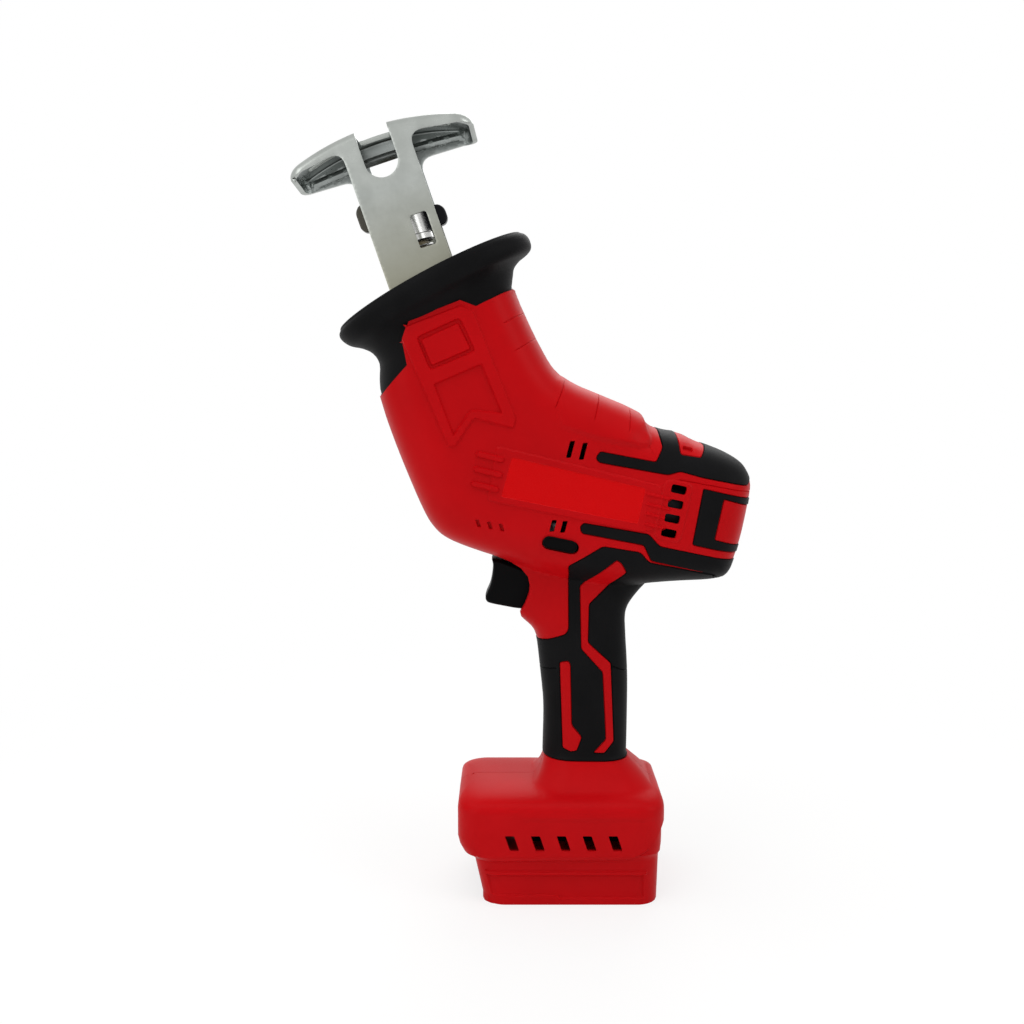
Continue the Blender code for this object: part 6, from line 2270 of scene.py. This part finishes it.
@dataclass
class Studio:
    """Pale floor, soft lamps, white surroundings and the camera.

    Attributes:
        lamps: Place, size in metres, watts, and whether bright metal mirrors it.
        shadow_reach: How far from the saw, in metres, the board starts to glow fully and where it does.
    """

    target: Point3 = (-0.00593, 0.0, 0.1955)
    camera: Point3 = (-0.00593, -0.600, 0.270)
    focal_mm: float = 41.41
    sensor_mm: float = 36.0
    floor_half: float = 3.0
    lamps: tuple[tuple[Point3, float, float, bool], ...] = (
        ((-0.25, -0.15, 1.25), 1.2, 11.0, False), ((0.9, -0.5, 0.75), 0.6, 2.5, True),
        ((-0.8, -0.9, 0.5), 0.8, 2.5, True), ((0.2, 0.9, 0.9), 0.8, 4.0, True),
    )
    world_strength: float = 0.45
    board_glow: float = 0.75
    shadow_reach: Point2 = (0.12, 0.5)

    def build(self) -> None:
        """Stages the floor, the lamps, the world and the camera."""
        self._floor()
        for i, (place, size, power, mirrored) in enumerate(self.lamps):
            lamp = bpy.data.lights.new(f"softbox_{i}", "AREA")
            lamp.shape, lamp.size, lamp.energy = "SQUARE", size, power
            box = add_object(f"softbox_{i}", lamp)
            box.visible_glossy = mirrored
            self._aim(box, place)
        self._world()
        lens = bpy.data.cameras.new("camera")
        lens.lens, lens.sensor_width = self.focal_mm, self.sensor_mm
        lens.clip_start, lens.clip_end = 0.01, 50.0
        # level with the saw's shoulder on its left side
        bpy.context.scene.camera = add_object("camera", lens)
        self._aim(bpy.context.scene.camera, self.camera)
        bpy.context.scene.view_settings.view_transform = "Standard"

    def _aim(self, item: bpy.types.Object, place: Point3) -> None:
        """Puts a lamp or the camera in its place, turned to the saw."""
        item.location = place
        item.rotation_euler = (Vector(self.target) - Vector(place)).to_track_quat("-Z", "Y").to_euler()

    def _floor(self) -> None:
        """Makes a white board that shows only the soft shadow."""
        reach = self.floor_half
        mesh = bpy.data.meshes.new("floor")
        mesh.from_pydata([(-reach, -reach, 0.0), (reach, -reach, 0.0), (reach, reach, 0.0), (-reach, reach, 0.0)], [],
                         [(0, 1, 2, 3)])
        floor = add_object("floor", mesh)
        material = bpy.data.materials.new("white_board")
        material.use_nodes = True
        tree = material.node_tree
        shader = tree.nodes["Principled BSDF"]
        shader.inputs["Base Color"].default_value = linear("#F2F2F1")
        shader.inputs["Roughness"].default_value = 0.8
        shader.inputs["Specular IOR Level"].default_value = 0.1
        # the board glows white where it is seen or mirrored; near the saw less so, which keeps a soft shadow
        place = add_node(tree, "ShaderNodeTexCoord").outputs["Object"]
        away = add_node(tree, "ShaderNodeVectorMath", {"operation": "LENGTH"}, {0: place})
        glow = add_node(tree, "ShaderNodeMapRange", to_range(self.board_glow, 1.0, *self.shadow_reach),
                        {"Value": away.outputs["Value"]})
        share = add_node(tree, "ShaderNodeMath", {"operation": "MULTIPLY"},
                         {0: seen_directly(tree), 1: glow.outputs[0]})
        white = add_node(tree, "ShaderNodeEmission", {"Color": (1.0, 1.0, 1.0, 1.0), "Strength": 1.0})
        mix = add_node(tree, "ShaderNodeMixShader",
                       links={0: share.outputs[0], 1: shader.outputs[0], 2: white.outputs[0]})
        tree.links.new(mix.outputs[0], tree.nodes["Material Output"].inputs["Surface"])
        mesh.materials.append(material)

    def _world(self) -> None:
        """Makes even light, which is white where it is seen, mirrored or seen through."""
        world = bpy.data.worlds.new("studio")
        world.use_nodes = True
        bpy.context.scene.world = world
        tree = world.node_tree
        tree.nodes.clear()
        light, white = (add_node(tree, "ShaderNodeBackground", {"Color": (1.0, 1.0, 1.0, 1.0), "Strength": strength})
                        for strength in (self.world_strength, 1.0))
        mix = add_node(tree, "ShaderNodeMixShader",
                       links={0: seen_directly(tree), 1: light.outputs[0], 2: white.outputs[0]})
        output = tree.nodes.new("ShaderNodeOutputWorld")
        tree.links.new(mix.outputs[0], output.inputs["Surface"])


def write_sizes() -> None:
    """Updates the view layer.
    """
    bpy.context.view_layer.update()


def main() -> None:
    """Builds the saw, assembly by assembly, then its studio."""
    logging.basicConfig(level=logging.INFO, format="%(name)s: %(message)s")
    dress_packed_nodes()
    for assembly in (MouldedBody(), BatteryReceiver(), NoseBoot(), StampedShoe(), ClampSleeve(), HousingScrews(),
                     Controls(), Studio()):
        assembly.build()
    write_sizes()


if __name__ == "__main__":
    main()
